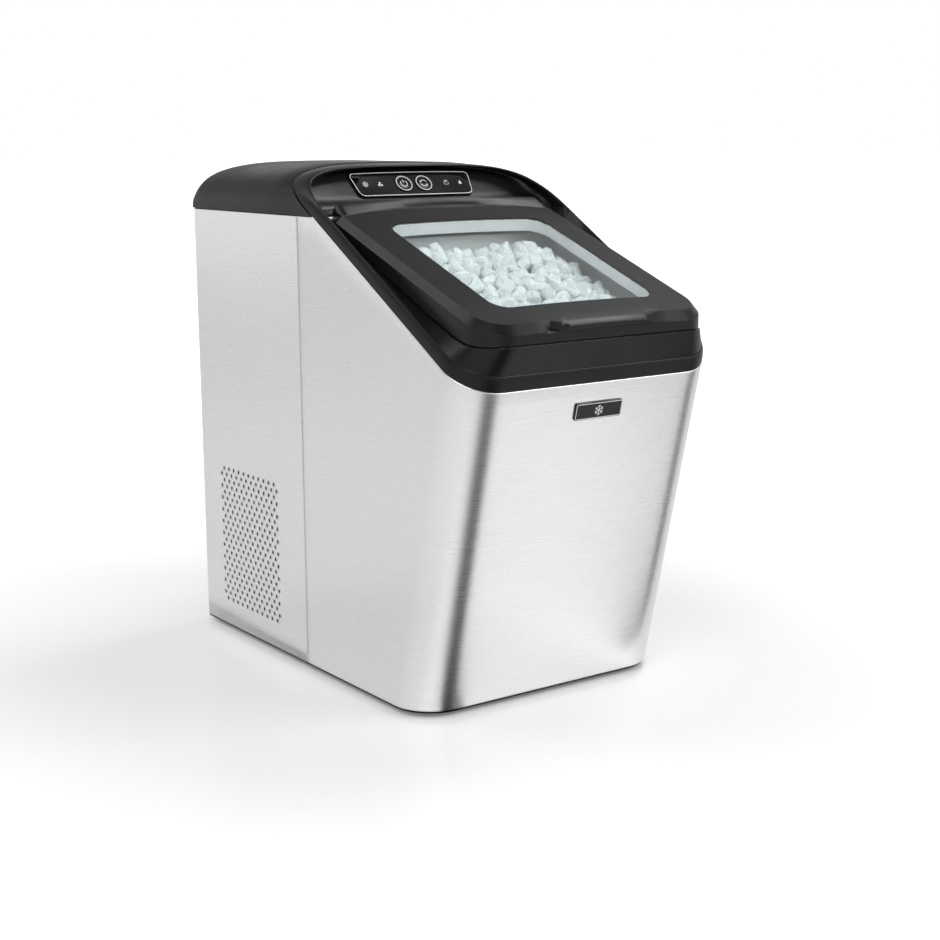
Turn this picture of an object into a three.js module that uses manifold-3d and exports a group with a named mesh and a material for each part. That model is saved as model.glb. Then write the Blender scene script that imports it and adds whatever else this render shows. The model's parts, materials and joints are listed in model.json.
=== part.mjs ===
// Countertop nugget ice maker. Millimetres, +Z up, front towards -Y, width along X.
// The layout has y = 0 at the front bottom edge of the steel and z = 0 at its bottom edge;
// the last group moves it so that the origin is on the table under the middle of the machine.
import * as THREE from 'three';
import { mergeVertices } from 'three/addons/utils/BufferGeometryUtils.js';
import Module from 'manifold-3d';

const wasm = await Module();
wasm.setup();

// ---- Driving dimensions -------------------------------------------------------------------
const WIDTH = 228;
const HALF = WIDTH / 2;
const REAR = 328.5; // rear face of the steel
const STEEL_TOP = 346;
const LEAN = 0.24; // forward lean of the front per unit of height
const SLOPE = 0.571; // fall of the slanted edge towards the front
const KINK_Y = 135; // where the steel's edge turns from level to slanted
const SEAM_Y = 157; // front and rear wraps meet here
const CORNER_R = 32; // front vertical corners
const SHEET = 1; // steel thickness
const WALL = 2.5; // plastic wall
const GAP = 0.3;
const CROWN = 36; // rise of the top cover above the steel
const ROUND = 3.2; // exponent of the rounded shoulder
const REAR_ROUND = 14; // length of the rounding at the rear
const BAND = 11.2; // height of the bezel band above the steel's edge

const LID_HALF = 101;
const LID_FRONT = -63.5;
const LID_REAR = 130;
const LID_RISE = 0.364; // the lid's top is inclined by 20 degrees
const LID_LEVEL = 301.8; // height of the lid's top plane at y = 0
const LID_BEVEL = 5;
const SHELF = 5; // how far the bezel's ledge runs in under the lid
const LID_CORNER_R = 26;
const HINGE = { y: 133, z: 343.5, radius: 2 };
const WINDOW = { half: 71, front: -36, rear: 103, radius: 13, overlap: 4, thickness: 2.5 };

const PANEL_TILT = THREE.MathUtils.degToRad(49.8);
const PANEL = { y: 172.7, z: 365.5, top: 114, bottom: 106, length: 23, radius: 5, thickness: 0.8 };
const BUTTON = { x: 9.3, radius: 7.6, height: 5, stem: 6.9, proud: 0.8 };
const LAMP_X = [-44, -31, 31, 44];

const BIN = { half: 95, rear: 118, floor: 112, front: 17, wall: 2.5, foam: 10 };
const BASKET = { half: 86, rear: 108, floor: 178, front: 25, wall: 2, drop: 16 };

const AUGER = { x: -40, y: 160, bottom: 92, top: 262, shaft: 9, flight: 17.2, pitch: 26 };
const BARREL = { inner: 18, outer: 21, foam: 34 };
const GEARS = { module: 1.5, wheel: 36, pinion: 12, thickness: 8, bottom: 66, play: 0.35 };
const FAN = { x: -68, y: 247, z: 80, radius: 41, hub: 15, blades: 7 };
const COMPRESSOR = { x: 46, y: 250, radius: 48, bottom: 20, top: 150 };
const DRAIN = { x: 84, z: 26, radius: 8 };
const INLET = { x: -72, z: 40, width: 34, height: 26 };
const FOOT = { radius: 10, height: 3, x: 88, front: 34, rear: 296 };
const PAN_EDGE = 2; // visible edge of the base below the steel
const PAN_RIM = 10;
const MID_Y = 134.5;
const LIFT = PAN_EDGE + FOOT.height;

// ---- Materials ----------------------------------------------------------------------------
const finish = (color, roughness, metalness = 0) => new THREE.MeshStandardMaterial({
  color, roughness, metalness,
});
const STEEL = finish(0xc6c8ca, 0.32, 1);
const BLACK = finish(0x1d1e20, 0.42);
const GLOSS = finish(0x08090a, 0.12);
const CLEAR = new THREE.MeshStandardMaterial({
  color: 0xe8f0f0, roughness: 0.05, metalness: 0, transparent: true, opacity: 0.3,
});
const WHITE = finish(0xe4e6e6, 0.45);
const RUBBER = finish(0x2a2a2b, 0.8);
const FOAM = finish(0xd8d4c8, 0.95);
const ALLOY = finish(0xb4b8bb, 0.4, 1);
const COPPER = finish(0xb87548, 0.35, 1);
const ENAMEL = finish(0x161718, 0.35);
const NYLON = finish(0xe9e6dc, 0.5);
const BOARD = finish(0x1f5a38, 0.5);

// ---- Solids -------------------------------------------------------------------------------
function signedVolume(vertices, triangles) {
  const a = new THREE.Vector3();
  const b = new THREE.Vector3();
  const c = new THREE.Vector3();
  let volume = 0;
  for (let i = 0; i < triangles.length; i += 3) {
    a.fromArray(vertices, triangles[i] * 3);
    b.fromArray(vertices, triangles[i + 1] * 3);
    c.fromArray(vertices, triangles[i + 2] * 3);
    volume += a.dot(b.cross(c)) / 6;
  }
  return volume;
}

// A closed geometry as a solid; a geometry that is inside out is turned.
function solid(geometry) {
  const bare = geometry.clone();
  bare.deleteAttribute('normal');
  bare.deleteAttribute('uv');
  const merged = mergeVertices(bare, 1e-4);
  const vertices = Float32Array.from(merged.attributes.position.array);
  const triangles = Uint32Array.from(merged.index.array);
  if (signedVolume(vertices, triangles) < 0) triangles.reverse();
  return new wasm.Manifold(new wasm.Mesh({ numProp: 3, vertProperties: vertices, triVerts: triangles }));
}

function geometryOf(body) {
  const { vertProperties, triVerts } = body.getMesh();
  const geometry = new THREE.BufferGeometry();
  geometry.setAttribute('position', new THREE.BufferAttribute(Float32Array.from(vertProperties), 3));
  geometry.setIndex(new THREE.BufferAttribute(Uint32Array.from(triVerts), 1));
  geometry.computeVertexNormals();
  return geometry;
}

const joined = (...bodies) => bodies.reduce((whole, body) => whole.add(body));

function box(width, depth, height, x, y, z) {
  const geometry = new THREE.BoxGeometry(width, depth, height);
  return solid(geometry.translate(x, y, z + height / 2));
}

// An outline of [a, b] pairs carried along an axis from one place to another.
function prism(outline, axis, from, to) {
  const shape = new THREE.Shape(outline.map(([a, b]) => new THREE.Vector2(a, b)));
  const geometry = new THREE.ExtrudeGeometry(shape, { depth: to - from, bevelEnabled: false });
  geometry.translate(0, 0, from);
  const places = {
    x: [0, 0, 1, 1, 0, 0, 0, 1, 0],
    y: [1, 0, 0, 0, 0, 1, 0, 1, 0],
    z: [1, 0, 0, 0, 1, 0, 0, 0, 1],
  };
  const turned = new THREE.Matrix4().setFromMatrix3(new THREE.Matrix3().set(...places[axis]));
  return solid(geometry.applyMatrix4(turned));
}

// A round bar along z, or a cone where the two radii differ.
function bar(radius, bottom, top, x = 0, y = 0, upper = radius, sides = 24) {
  const geometry = new THREE.CylinderGeometry(upper, radius, top - bottom, sides);
  geometry.rotateX(Math.PI / 2);
  return solid(geometry.translate(x, y, (bottom + top) / 2));
}

// A round bar along x or y.
function barAlong(axis, radius, from, to, a, b, sides = 24) {
  const geometry = new THREE.CylinderGeometry(radius, radius, to - from, sides);
  if (axis === 'x') geometry.rotateZ(Math.PI / 2).translate((from + to) / 2, a, b);
  if (axis === 'y') geometry.translate(a, (from + to) / 2, b);
  return solid(geometry);
}

function turnedBody(profile, x, y, sides = 28) {
  const points = profile.map(([radius, height]) => new THREE.Vector2(radius, height));
  const geometry = new THREE.LatheGeometry(points, sides).rotateX(Math.PI / 2);
  return solid(geometry.translate(x, y, 0));
}

function roundedOutline(halfX, y0, y1, radius, steps = 6) {
  const corners = [[halfX, y1, 0], [-halfX, y1, 1], [-halfX, y0, 2], [halfX, y0, 3]];
  return corners.flatMap(([x, y, quarter]) => {
    const cx = x - Math.sign(x) * radius;
    const cy = y === y1 ? y - radius : y + radius;
    return Array.from({ length: steps + 1 }, (_, i) => {
      const angle = (quarter + i / steps) * Math.PI / 2;
      return [cx + radius * Math.cos(angle), cy + radius * Math.sin(angle)];
    });
  });
}

// A skin over rings of points, closed at both ends.
function loft(rings) {
  const count = rings[0].length;
  const last = rings.length - 1;
  const index = [];
  for (let i = 0; i < last; i += 1) {
    for (let j = 0; j < count; j += 1) {
      const k = (j + 1) % count;
      const [a, b, c, d] = [i * count + j, i * count + k, (i + 1) * count + k, (i + 1) * count + j];
      index.push(a, b, c, a, c, d);
    }
  }
  index.push(...capOf(rings[0], 0, false), ...capOf(rings[last], last * count, true));
  const geometry = new THREE.BufferGeometry().setFromPoints(rings.flat());
  geometry.setIndex(index);
  return solid(geometry);
}

// Triangles that close a ring, worked out in the plane that it faces.
function capOf(ring, start, far) {
  const normal = new THREE.Vector3();
  ring.forEach((point, i) => {
    const following = ring[(i + 1) % ring.length];
    normal.add(new THREE.Vector3().crossVectors(point, following));
  });
  const across = new THREE.Vector3(normal.y, normal.z, normal.x).cross(normal).normalize();
  const up = new THREE.Vector3().crossVectors(normal, across).normalize();
  const flat = ring.map((point) => new THREE.Vector2(point.dot(across), point.dot(up)));
  const faces = THREE.ShapeUtils.triangulateShape(flat, []);
  const turned = far ? faces : faces.map(([a, b, c]) => [c, b, a]);
  return turned.flat().map((corner) => start + corner);
}

// A round tube through a list of points.
function tube(points, radius, steps = 24, sides = 8) {
  const route = points.map((point) => new THREE.Vector3(...point));
  const curve = new THREE.CatmullRomCurve3(route, false, 'centripetal');
  const section = new THREE.Shape();
  for (let i = 0; i < sides; i += 1) {
    const angle = i / sides * 2 * Math.PI;
    const step = i === 0 ? 'moveTo' : 'lineTo';
    section[step](radius * Math.cos(angle), radius * Math.sin(angle));
  }
  return solid(new THREE.ExtrudeGeometry(section, { steps, extrudePath: curve, bevelEnabled: false }));
}

const machine = new THREE.Group();

function piece(name, body, material, parent = machine) {
  const mesh = new THREE.Mesh(geometryOf(body), material);
  mesh.name = name;
  parent.add(mesh);
  return mesh;
}

// ---- Surfaces that the casing follows -----------------------------------------------------
const edgeHeight = (y) => STEEL_TOP + SLOPE * (y - KINK_Y);
const lidTop = (y) => LID_LEVEL + LID_RISE * y;
// The line where the lid meets the bezel: inclined, and levelling out towards the front.
const partingHeight = (y) => 283.3 + 0.43 * y + 0.0062 * Math.max(0, -20 - y) ** 2;
const superRound = (t) => (1 - Math.min(1, Math.abs(t)) ** ROUND) ** (1 / ROUND);

// Plan of the casing at one height: square rear corners, rounded front corners.
function casingRing(inset, z, steps = 8) {
  const half = HALF - inset;
  const radius = CORNER_R - inset;
  const front = inset - LEAN * z;
  const rear = REAR - inset;
  const ring = [new THREE.Vector3(half, rear, z), new THREE.Vector3(-half, rear, z)];
  for (const side of [-1, 1]) {
    for (let i = 0; i <= steps; i += 1) {
      const angle = (side < 0 ? i : steps - i) / steps * Math.PI / 2;
      const x = side * (half - radius + radius * Math.cos(angle));
      ring.push(new THREE.Vector3(x, front + radius - radius * Math.sin(angle), z));
    }
  }
  return ring;
}

const casing = (inset, bottom, top) => loft([casingRing(inset, bottom), casingRing(inset, top)]);

// The rounded top: a rise of superellipse section across X, rounded again towards the rear.
function dome(inset, base, columns = 20, rows = 10) {
  const half = HALF - inset;
  const rear = REAR + 1 - inset;
  const front = 95;
  const turn = REAR + 1 - REAR_ROUND;
  const rings = [];
  for (let i = 0; i <= rows; i += 1) {
    const back = i / rows * Math.PI / 2;
    const y = i === 0 ? front : turn + (rear - turn) * Math.sin(back);
    const ring = [];
    for (let j = 0; j <= columns; j += 1) {
      const t = Math.sin((j / columns - 0.5) * Math.PI);
      const across = superRound(t);
      const along = superRound(Math.max(0, (y - turn) / (rear - turn)));
      ring.push(new THREE.Vector3(half * t, y, STEEL_TOP + 0.4 + (CROWN - inset) * across * along));
    }
    ring.push(new THREE.Vector3(half, y, base), new THREE.Vector3(-half, y, base));
    rings.push(ring);
  }
  return loft(rings);
}

// A block that keeps what is between two planes parallel to the slanted edge.
function slantedSlab(low, high, from = -140) {
  const to = REAR + 40;
  return prism([
    [from, edgeHeight(from) + low], [to, edgeHeight(to) + low],
    [to, edgeHeight(to) + high], [from, edgeHeight(from) + high],
  ], 'x', -HALF - 20, HALF + 20);
}

// ---- Steel wraps --------------------------------------------------------------------------
function steelShell(wrap) {
  const hollow = casing(0, 0, STEEL_TOP + 60).subtract(casing(SHEET, -5, STEEL_TOP + 65));
  const seam = SEAM_Y + (wrap === 'front' ? -GAP / 2 : GAP / 2);
  const front = -140;
  const below = wrap === 'front'
    ? [[front, -1], [seam, -1], [seam, STEEL_TOP], [KINK_Y, STEEL_TOP], [front, edgeHeight(front)]]
    : [[seam, -1], [REAR + 5, -1], [REAR + 5, STEEL_TOP], [seam, STEEL_TOP]];
  return hollow.intersect(prism(below, 'x', -HALF - 5, HALF + 5));
}

const SCREWS = [[-100, 20], [100, 62], [-100, 320], [100, 320]];

function rearShell() {
  const low = INLET.z - INLET.height / 2 - 0.5;
  const inletHole = box(INLET.width + 1, 10, INLET.height + 1, INLET.x, REAR, low);
  const drainHole = barAlong('y', DRAIN.radius + 0.5, REAR - 5, REAR + 5, DRAIN.x, DRAIN.z);
  const holes = SCREWS.map(([x, z]) => barAlong('y', 2.2, REAR - 5, REAR + 5, x, z, 10));
  return steelShell('rear').subtract(joined(inletHole, drainHole, ...holes));
}

piece('front_shell', steelShell('front'), STEEL);
piece('rear_shell', rearShell(), STEEL);

SCREWS.forEach(([x, z], i) => {
  const head = barAlong('y', 3.6, REAR + 0.2, REAR + 2, x, z, 12);
  const shank = barAlong('y', 1.7, REAR - 8, REAR + 1, x, z, 8);
  piece(`rear_screw_${i + 1}`, head.add(shank), ALLOY);
});

// ---- Top cover, bezel and control fascia --------------------------------------------------
function topCover() {
  const shell = dome(-0.8, STEEL_TOP + GAP).subtract(dome(WALL, STEEL_TOP - 1));
  return shell.intersect(slantedSlab(-120, -GAP, KINK_Y - 2));
}

// Sides and front of the bezel: a band on the casing's outline and a ledge in to the lid.
function bezelFront() {
  const steps = 8;
  const straights = [112, 60, 10, -20];
  const stations = straights.map((y) => [0, -1, y]);
  for (let i = 0; i <= steps; i += 1) stations.push([i / steps * Math.PI / 2, -1]);
  for (let i = steps; i >= 0; i -= 1) stations.push([i / steps * Math.PI / 2, 1]);
  stations.push(...straights.toReversed().map((y) => [0, 1, y]));
  const onPlane = (rise, back) => (STEEL_TOP + rise + SLOPE * (back - KINK_Y)) / (1 + SLOPE * LEAN);
  const rings = stations.map(([angle, side, straight]) => {
    const outer = (inset, rise) => {
      const radius = CORNER_R - inset;
      const x = side * (HALF - CORNER_R + radius * Math.cos(angle));
      if (straight !== undefined) return new THREE.Vector3(x, straight, edgeHeight(straight) + rise);
      const back = CORNER_R - radius * Math.sin(angle);
      const z = onPlane(rise, back);
      return new THREE.Vector3(x, back - LEAN * z, z);
    };
    const ledge = (inset, drop) => {
      const radius = LID_CORNER_R - inset;
      const x = side * (LID_HALF - LID_CORNER_R + radius * Math.cos(angle));
      const y = straight ?? LID_FRONT + LID_CORNER_R - radius * Math.sin(angle);
      return new THREE.Vector3(x, y, partingHeight(y) - drop);
    };
    const shelf = [ledge(-0.6, 0), ledge(SHELF, 0), ledge(SHELF, 3)];
    return [outer(0, GAP), outer(0, BAND), ...shelf, outer(WALL + 1, GAP - 5), outer(1.4, GAP)];
  });
  return loft(rings);
}

function bezel() {
  const arch = dome(0, STEEL_TOP - 40).subtract(dome(WALL, STEEL_TOP - 41));
  const band = arch.intersect(slantedSlab(GAP, BAND, 104));
  const cheek = (side) => prism([
    [108, partingHeight(108) - 3], [151, partingHeight(151) - 3],
    [151, partingHeight(151)], [108, partingHeight(108)],
  ], 'x', side < 0 ? -HALF + 3 : LID_HALF - SHELF, side < 0 ? -LID_HALF + SHELF : HALF - 3);
  const ears = [-1, 1].map((side) => box(5, 9, 8.5, side * (LID_HALF + 4), HINGE.y, HINGE.z - 4.5));
  const bore = barAlong('x', HINGE.radius + GAP, -HALF, HALF, HINGE.y, HINGE.z, 16);
  return joined(band, bezelFront(), cheek(-1), cheek(1), ...ears).subtract(bore);
}

// Section of the control fascia: the trough behind the hinge, then up to the rim of the band.
const FASCIA = [
  [121, 333], [121, 335.5], [152.5, 335.5], [152.5, 346],
  [155, 351.5], [160, 354], [165, 356.6], [186, 381.2], [188, 383],
  [191, 383], [191, 379], [168, 352.5], [161, 350], [158, 348], [156, 343], [156, 333],
];

function fascia() {
  const inside = dome(WALL + GAP, 300).intersect(slantedSlab(-90, BAND - 0.5, 100));
  const trough = LID_HALF - SHELF - 0.5;
  const sides = [-1, 1].map((side) => box(30, 60, 20, side * (trough + 15), 130, 330));
  const across = HALF - WALL - 1.5;
  const sheet = prism(FASCIA, 'x', -across, across).intersect(inside).subtract(joined(...sides));
  const holes = [-1, 1].map((side) => panelBar(BUTTON.radius + 0.4, -12, 6, side * BUTTON.x));
  const lamps = LAMP_X.map((x) => panelBar(1.6, -12, 6, x, 10));
  return sheet.subtract(joined(...holes, ...lamps));
}

// A round bar square to the control panel, at its place on the machine.
function panelBar(radius, bottom, top, x, sides = 20) {
  const geometry = new THREE.CylinderGeometry(radius, radius, top - bottom, sides);
  geometry.rotateX(Math.PI / 2).translate(x, 0, (bottom + top) / 2);
  return solid(geometry.rotateX(PANEL_TILT).translate(0, PANEL.y, PANEL.z));
}

piece('top_cover', topCover(), BLACK);
piece('front_bezel', bezel(), BLACK);
piece('control_fascia', fascia(), BLACK);

// ---- Control panel ------------------------------------------------------------------------
const panel = new THREE.Group();
panel.position.set(0, PANEL.y, PANEL.z);
panel.rotation.x = PANEL_TILT;
machine.add(panel);

function overlay() {
  const lean = (PANEL.top - PANEL.bottom) / 2;
  const outline = roundedOutline(PANEL.bottom / 2, -PANEL.length / 2, PANEL.length / 2, PANEL.radius, 4)
    .map(([x, y]) => [x + Math.sign(x) * lean * (y / PANEL.length + 0.5), y]);
  const plate = prism(outline, 'z', 0.9, 0.9 + PANEL.thickness);
  const holes = [-1, 1].map((side) => bar(BUTTON.radius + 0.35, -2, 4, side * BUTTON.x, 0));
  return plate.subtract(joined(...holes));
}

function button() {
  const top = 0.9 + PANEL.thickness + BUTTON.proud;
  const cap = bar(BUTTON.radius, top - BUTTON.height, top, 0, 0, BUTTON.radius - 0.2);
  return cap.add(bar(2, top - BUTTON.height - BUTTON.stem, top - BUTTON.height + 1, 0, 0, 2, 12));
}

function controlBoard() {
  const board = box(112, 26, 1.6, 0, 0, -14);
  const switches = [-1, 1].map((side) => box(6, 6, 2.2, side * BUTTON.x, 0, -12.5));
  const sockets = [-40, 40].map((x) => box(12, 6, 6, x, -6, -19.9));
  return joined(board, ...switches, ...sockets);
}

function lightGuide() {
  const posts = LAMP_X.map((x) => bar(1.3, -8, -0.2, x, 0, 1.3, 10));
  const run = box(100, 3, 2, 0, 11, -10);
  const arms = LAMP_X.map((x) => box(3, 12.5, 2, x, 6, -10));
  return joined(run, ...arms, ...posts);
}

piece('control_overlay', overlay(), GLOSS, panel);
piece('power_button', button(), GLOSS, panel).position.x = -BUTTON.x;
piece('clean_button', button(), GLOSS, panel).position.x = BUTTON.x;
piece('control_board', controlBoard(), BOARD, panel);
piece('light_guide', lightGuide(), NYLON, panel);

// ---- Lid ----------------------------------------------------------------------------------
// The lid's outline at one inset, with its height worked out from how far back each point is.
function lidRing(inset, heightAt) {
  const radius = LID_CORNER_R - inset;
  const outline = roundedOutline(LID_HALF - inset, LID_FRONT + inset, LID_REAR - inset, radius, 8);
  return outline.map(([x, y]) => {
    const back = y > LID_REAR - LID_CORNER_R;
    const squared = back ? Math.sign(x) * Math.min(LID_HALF - inset, Math.abs(x) * 1.16) : x;
    return new THREE.Vector3(squared, y, heightAt(y));
  });
}

function lidFrame() {
  const underside = (y) => partingHeight(y) + 0.6;
  const outside = loft([
    lidRing(0, underside), lidRing(0, (y) => lidTop(y) - LID_BEVEL), lidRing(LID_BEVEL, lidTop),
  ]);
  const inside = loft([
    lidRing(3, (y) => underside(y) - 12), lidRing(3, (y) => lidTop(y) - LID_BEVEL - 2),
    lidRing(LID_BEVEL + 2, (y) => lidTop(y) - 3),
  ]);
  const opening = prism(roundedOutline(WINDOW.half, WINDOW.front, WINDOW.rear, WINDOW.radius), 'z', 240, 380);
  const raised = [[119, 345], [128, 348], [134.5, 354.6], [136, 354.6], [136, 341], [119, 340.5]];
  const kick = prism(raised, 'x', -LID_HALF + 6, LID_HALF - 6);
  const lip = prism([[-66.5, 272.5], [-57, 281], [-56, 276], [-63, 269]], 'x', -34, 34);
  const hinge = barAlong('x', HINGE.radius + 0.35, -120, 120, HINGE.y, HINGE.z, 16);
  return outside.subtract(inside).add(kick).add(lip).subtract(opening).subtract(hinge);
}

function lidWindow() {
  const wide = WINDOW.overlap;
  const { half, front, rear, radius } = WINDOW;
  const outline = roundedOutline(half + wide, front - wide, rear + wide, radius + wide);
  const levels = [3.4 + WINDOW.thickness, 3.4];
  return loft(levels.map((drop) => outline.map(([x, y]) => new THREE.Vector3(x, y, lidTop(y) - drop))));
}

piece('lid_frame', lidFrame(), BLACK);
piece('lid_window', lidWindow(), CLEAR);
for (const [name, side] of [['left', -1], ['right', 1]]) {
  const ends = [side * (LID_HALF - 14), side * (LID_HALF + 4)].sort((a, b) => a - b);
  piece(`hinge_pin_${name}`, barAlong('x', HINGE.radius, ...ends, HINGE.y, HINGE.z, 16), ALLOY);
}

// ---- Name plate, base and feet ------------------------------------------------------------
const plate = new THREE.Group();
plate.position.set(3, -LEAN * 216.3, 216.3);
plate.rotation.x = Math.PI / 2 + Math.atan(LEAN);
machine.add(plate);
piece('name_plate', prism(roundedOutline(21, -6.2, 6.2, 1.6, 3), 'z', 0.2, 1.6), GLOSS, plate);

function basePan() {
  const edge = casing(1.2, -PAN_EDGE, -GAP);
  const outline = casingRing(2.4, 0).map((point) => [point.x, point.y]);
  const hollow = casingRing(4.6, 0).map((point) => [point.x, point.y]);
  const rim = prism(outline, 'z', -GAP - 0.5, PAN_RIM);
  return edge.add(rim).subtract(prism(hollow, 'z', 0, 20));
}

piece('base_pan', basePan(), BLACK);
for (const [name, x, y] of [
  ['front_left', -FOOT.x, FOOT.front], ['front_right', FOOT.x, FOOT.front],
  ['rear_left', -FOOT.x, FOOT.rear], ['rear_right', FOOT.x, FOOT.rear],
]) {
  piece(`foot_${name}`, bar(FOOT.radius - 1, -LIFT, -PAN_EDGE - 0.2, x, y, FOOT.radius), RUBBER);
}

// ---- Ice bin and basket -------------------------------------------------------------------
// A trough with a leaning front and a slanted rim, as an outline in Y and Z.
function trough(front, rear, floor, drop) {
  const rim = (y) => partingHeight(y) - drop;
  const frontAt = (z) => front - LEAN * z;
  let frontTop = rim(frontAt(262));
  frontTop = rim(frontAt(frontTop));
  return [[frontAt(floor), floor], [rear, floor], [rear, rim(rear)], [-20, rim(-20)], [-35, rim(-35)],
    [frontAt(frontTop), frontTop]];
}

function iceBin() {
  const outside = prism(trough(BIN.front, BIN.rear, BIN.floor, 6), 'x', -BIN.half, BIN.half);
  const hollow = trough(BIN.front + BIN.wall, BIN.rear - BIN.wall, BIN.floor + BIN.wall, -30);
  const mouth = box(44, 20, 34, AUGER.x, BIN.rear, 268);
  const outlet = bar(4, 100, 120, 60, 30, 4, 12);
  const drain = bar(4, 100, 120, 84, 80, 4, 12);
  const inside = prism(hollow, 'x', -BIN.half + BIN.wall, BIN.half - BIN.wall);
  const rails = [-1, 1].map((side) => box(12, 100, 7.5, side * (BIN.half - 7), 50, BASKET.floor - 7.8));
  return outside.subtract(inside).subtract(joined(mouth, outlet, drain)).add(joined(...rails));
}

function binFoam() {
  const outside = prism(trough(BIN.front - BIN.foam, BIN.rear + 1, BIN.floor - BIN.foam, 12), 'x', -107, 107);
  const inside = trough(BIN.front - GAP, BIN.rear + 10, BIN.floor - GAP, -30);
  const wells = [[60, 30], [84, 80]].map(([x, y]) => bar(8, 90, 120, x, y, 8, 12));
  const within = casing(SHEET + GAP, 0, STEEL_TOP).intersect(slantedSlab(-400, -8));
  const room = prism(inside, 'x', -BIN.half - GAP, BIN.half + GAP);
  const foam = outside.subtract(room).subtract(joined(...wells));
  return foam.intersect(within);
}

function iceBasket() {
  const { half, front, rear, floor, wall } = BASKET;
  const outside = prism(trough(front, rear, floor, BASKET.drop), 'x', -half, half);
  const hollow = trough(front + wall, rear - wall, floor + wall, -30);
  const inside = prism(hollow, 'x', -half + wall, half - wall);
  const mouth = box(50, 20, 120, AUGER.x, BASKET.rear, 246);
  const slots = [];
  for (let x = -60; x <= 60; x += 30) slots.push(box(4, 70, 10, x, 35, BASKET.floor - 4));
  return outside.subtract(inside).subtract(joined(mouth, ...slots));
}

piece('ice_bin', iceBin(), WHITE);
piece('bin_insulation', binFoam(), FOAM);
piece('ice_basket', iceBasket(), WHITE);

// ---- Freezing column ----------------------------------------------------------------------
function auger() {
  const { x, y, bottom, top, shaft, flight, pitch } = AUGER;
  const core = bar(shaft, bottom + 4, top - 2, x, y);
  const stem = bar(5, GEARS.bottom + 1, bottom + 5, x, y, 5, 12);
  const turns = 5.6;
  const steps = Math.round(turns * 10);
  const rings = [];
  for (let i = 0; i <= steps; i += 1) {
    const angle = i / steps * turns * 2 * Math.PI;
    const z = bottom + 12 + i / steps * turns * pitch;
    const corners = [[shaft - 2, -1.6], [flight, -0.9], [flight, 0.9], [shaft - 2, 1.6]];
    const [across, along] = [Math.cos(angle), Math.sin(angle)];
    rings.push(corners.map(([r, h]) => new THREE.Vector3(x + r * across, y + r * along, z + h)));
  }
  return joined(core, stem, loft(rings));
}

function gearOutline(teeth, fill) {
  const pitchRadius = teeth * GEARS.module / 2;
  const outline = [];
  for (let i = 0; i < teeth; i += 1) {
    const middle = i / teeth * 2 * Math.PI;
    const half = Math.PI / teeth / 2 * fill;
    const corners = [[-1.35, -1.15 * GEARS.module], [-0.5, 0.9 * GEARS.module], [0.5, 0.9 * GEARS.module],
      [1.35, -1.15 * GEARS.module]];
    for (const [side, rise] of corners) {
      const angle = middle + side * half;
      outline.push([(pitchRadius + rise) * Math.cos(angle), (pitchRadius + rise) * Math.sin(angle)]);
    }
  }
  return outline;
}

const pinionX = AUGER.x + (GEARS.wheel + GEARS.pinion) * GEARS.module / 2 + GEARS.play;
const gearTop = GEARS.bottom + GEARS.thickness;

function augerGear() {
  const wheel = prism(gearOutline(GEARS.wheel, 0.86), 'z', GEARS.bottom, gearTop);
  return wheel.subtract(bar(5.3, 0, 100, 0, 0, 5.3, 12));
}

function pinion() {
  // Half a tooth of turn sets a gap of the pinion opposite a tooth of the wheel.
  const wheel = prism(gearOutline(GEARS.pinion, 0.8), 'z', GEARS.bottom, gearTop);
  const turned = wheel.rotate([0, 0, 180 + 180 / GEARS.pinion]);
  return turned.add(bar(2.5, bottomOfMotor + 2.3, gearTop, 0, 0, 2.5, 12));
}

const HOUSING = { x0: -74, x1: 16, y0: 128, y1: 192, bottom: 62, top: 80, wall: 3 };
const bottomOfMotor = HOUSING.bottom - 3.8;

function gearHousing() {
  const { x0, x1, y0, y1, bottom, top, wall } = HOUSING;
  const outside = box(x1 - x0, y1 - y0, top - bottom - 3 - GAP, (x0 + x1) / 2, (y0 + y1) / 2, bottom);
  const inside = box(x1 - x0 - 2 * wall, y1 - y0 - 2 * wall, 40, (x0 + x1) / 2, (y0 + y1) / 2, bottom + wall);
  const shaftHole = bar(6, 50, 90, pinionX, AUGER.y, 6, 16);
  return outside.subtract(inside).subtract(shaftHole);
}

function gearCover() {
  const { x0, x1, y0, y1, top } = HOUSING;
  const lid = box(x1 - x0, y1 - y0, 3, (x0 + x1) / 2, (y0 + y1) / 2, top - 3);
  return lid.subtract(bar(5.6, 60, 100, AUGER.x, AUGER.y, 5.6, 16));
}

function gearStand() {
  const { x0, x1, y0, y1, bottom } = HOUSING;
  const legs = [[x0 + 6, y0 + 6], [x0 + 6, y1 - 6], [x1 - 6, y0 + 6], [x1 - 6, y1 - 6]];
  const posts = legs.map(([x, y]) => box(8, 8, bottom - 4.5, x, y, 1.5));
  const tray = box(x1 - x0, y1 - y0, 2, (x0 + x1) / 2, (y0 + y1) / 2, 0.5);
  const top = box(x1 - x0, y1 - y0, 3, (x0 + x1) / 2, (y0 + y1) / 2, bottom - 3.3);
  return joined(tray, top.subtract(bar(14, 40, 80, pinionX, AUGER.y)), ...posts);
}

function augerMotor() {
  const body = bar(22, 6, bottomOfMotor, pinionX, AUGER.y);
  return body.add(bar(10, 5, bottomOfMotor + 2, pinionX, AUGER.y, 10, 16));
}

piece('auger', auger(), STEEL);
const wheelAt = piece('auger_gear', augerGear(), NYLON);
wheelAt.position.set(AUGER.x, AUGER.y, 0);
const pinionAt = piece('drive_pinion', pinion(), ALLOY);
pinionAt.position.set(pinionX, AUGER.y, 0);
piece('gear_housing', gearHousing(), ENAMEL);
piece('gear_cover', gearCover(), ENAMEL);
piece('gearbox_stand', gearStand(), ALLOY);
piece('auger_motor', augerMotor(), ENAMEL);

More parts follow.
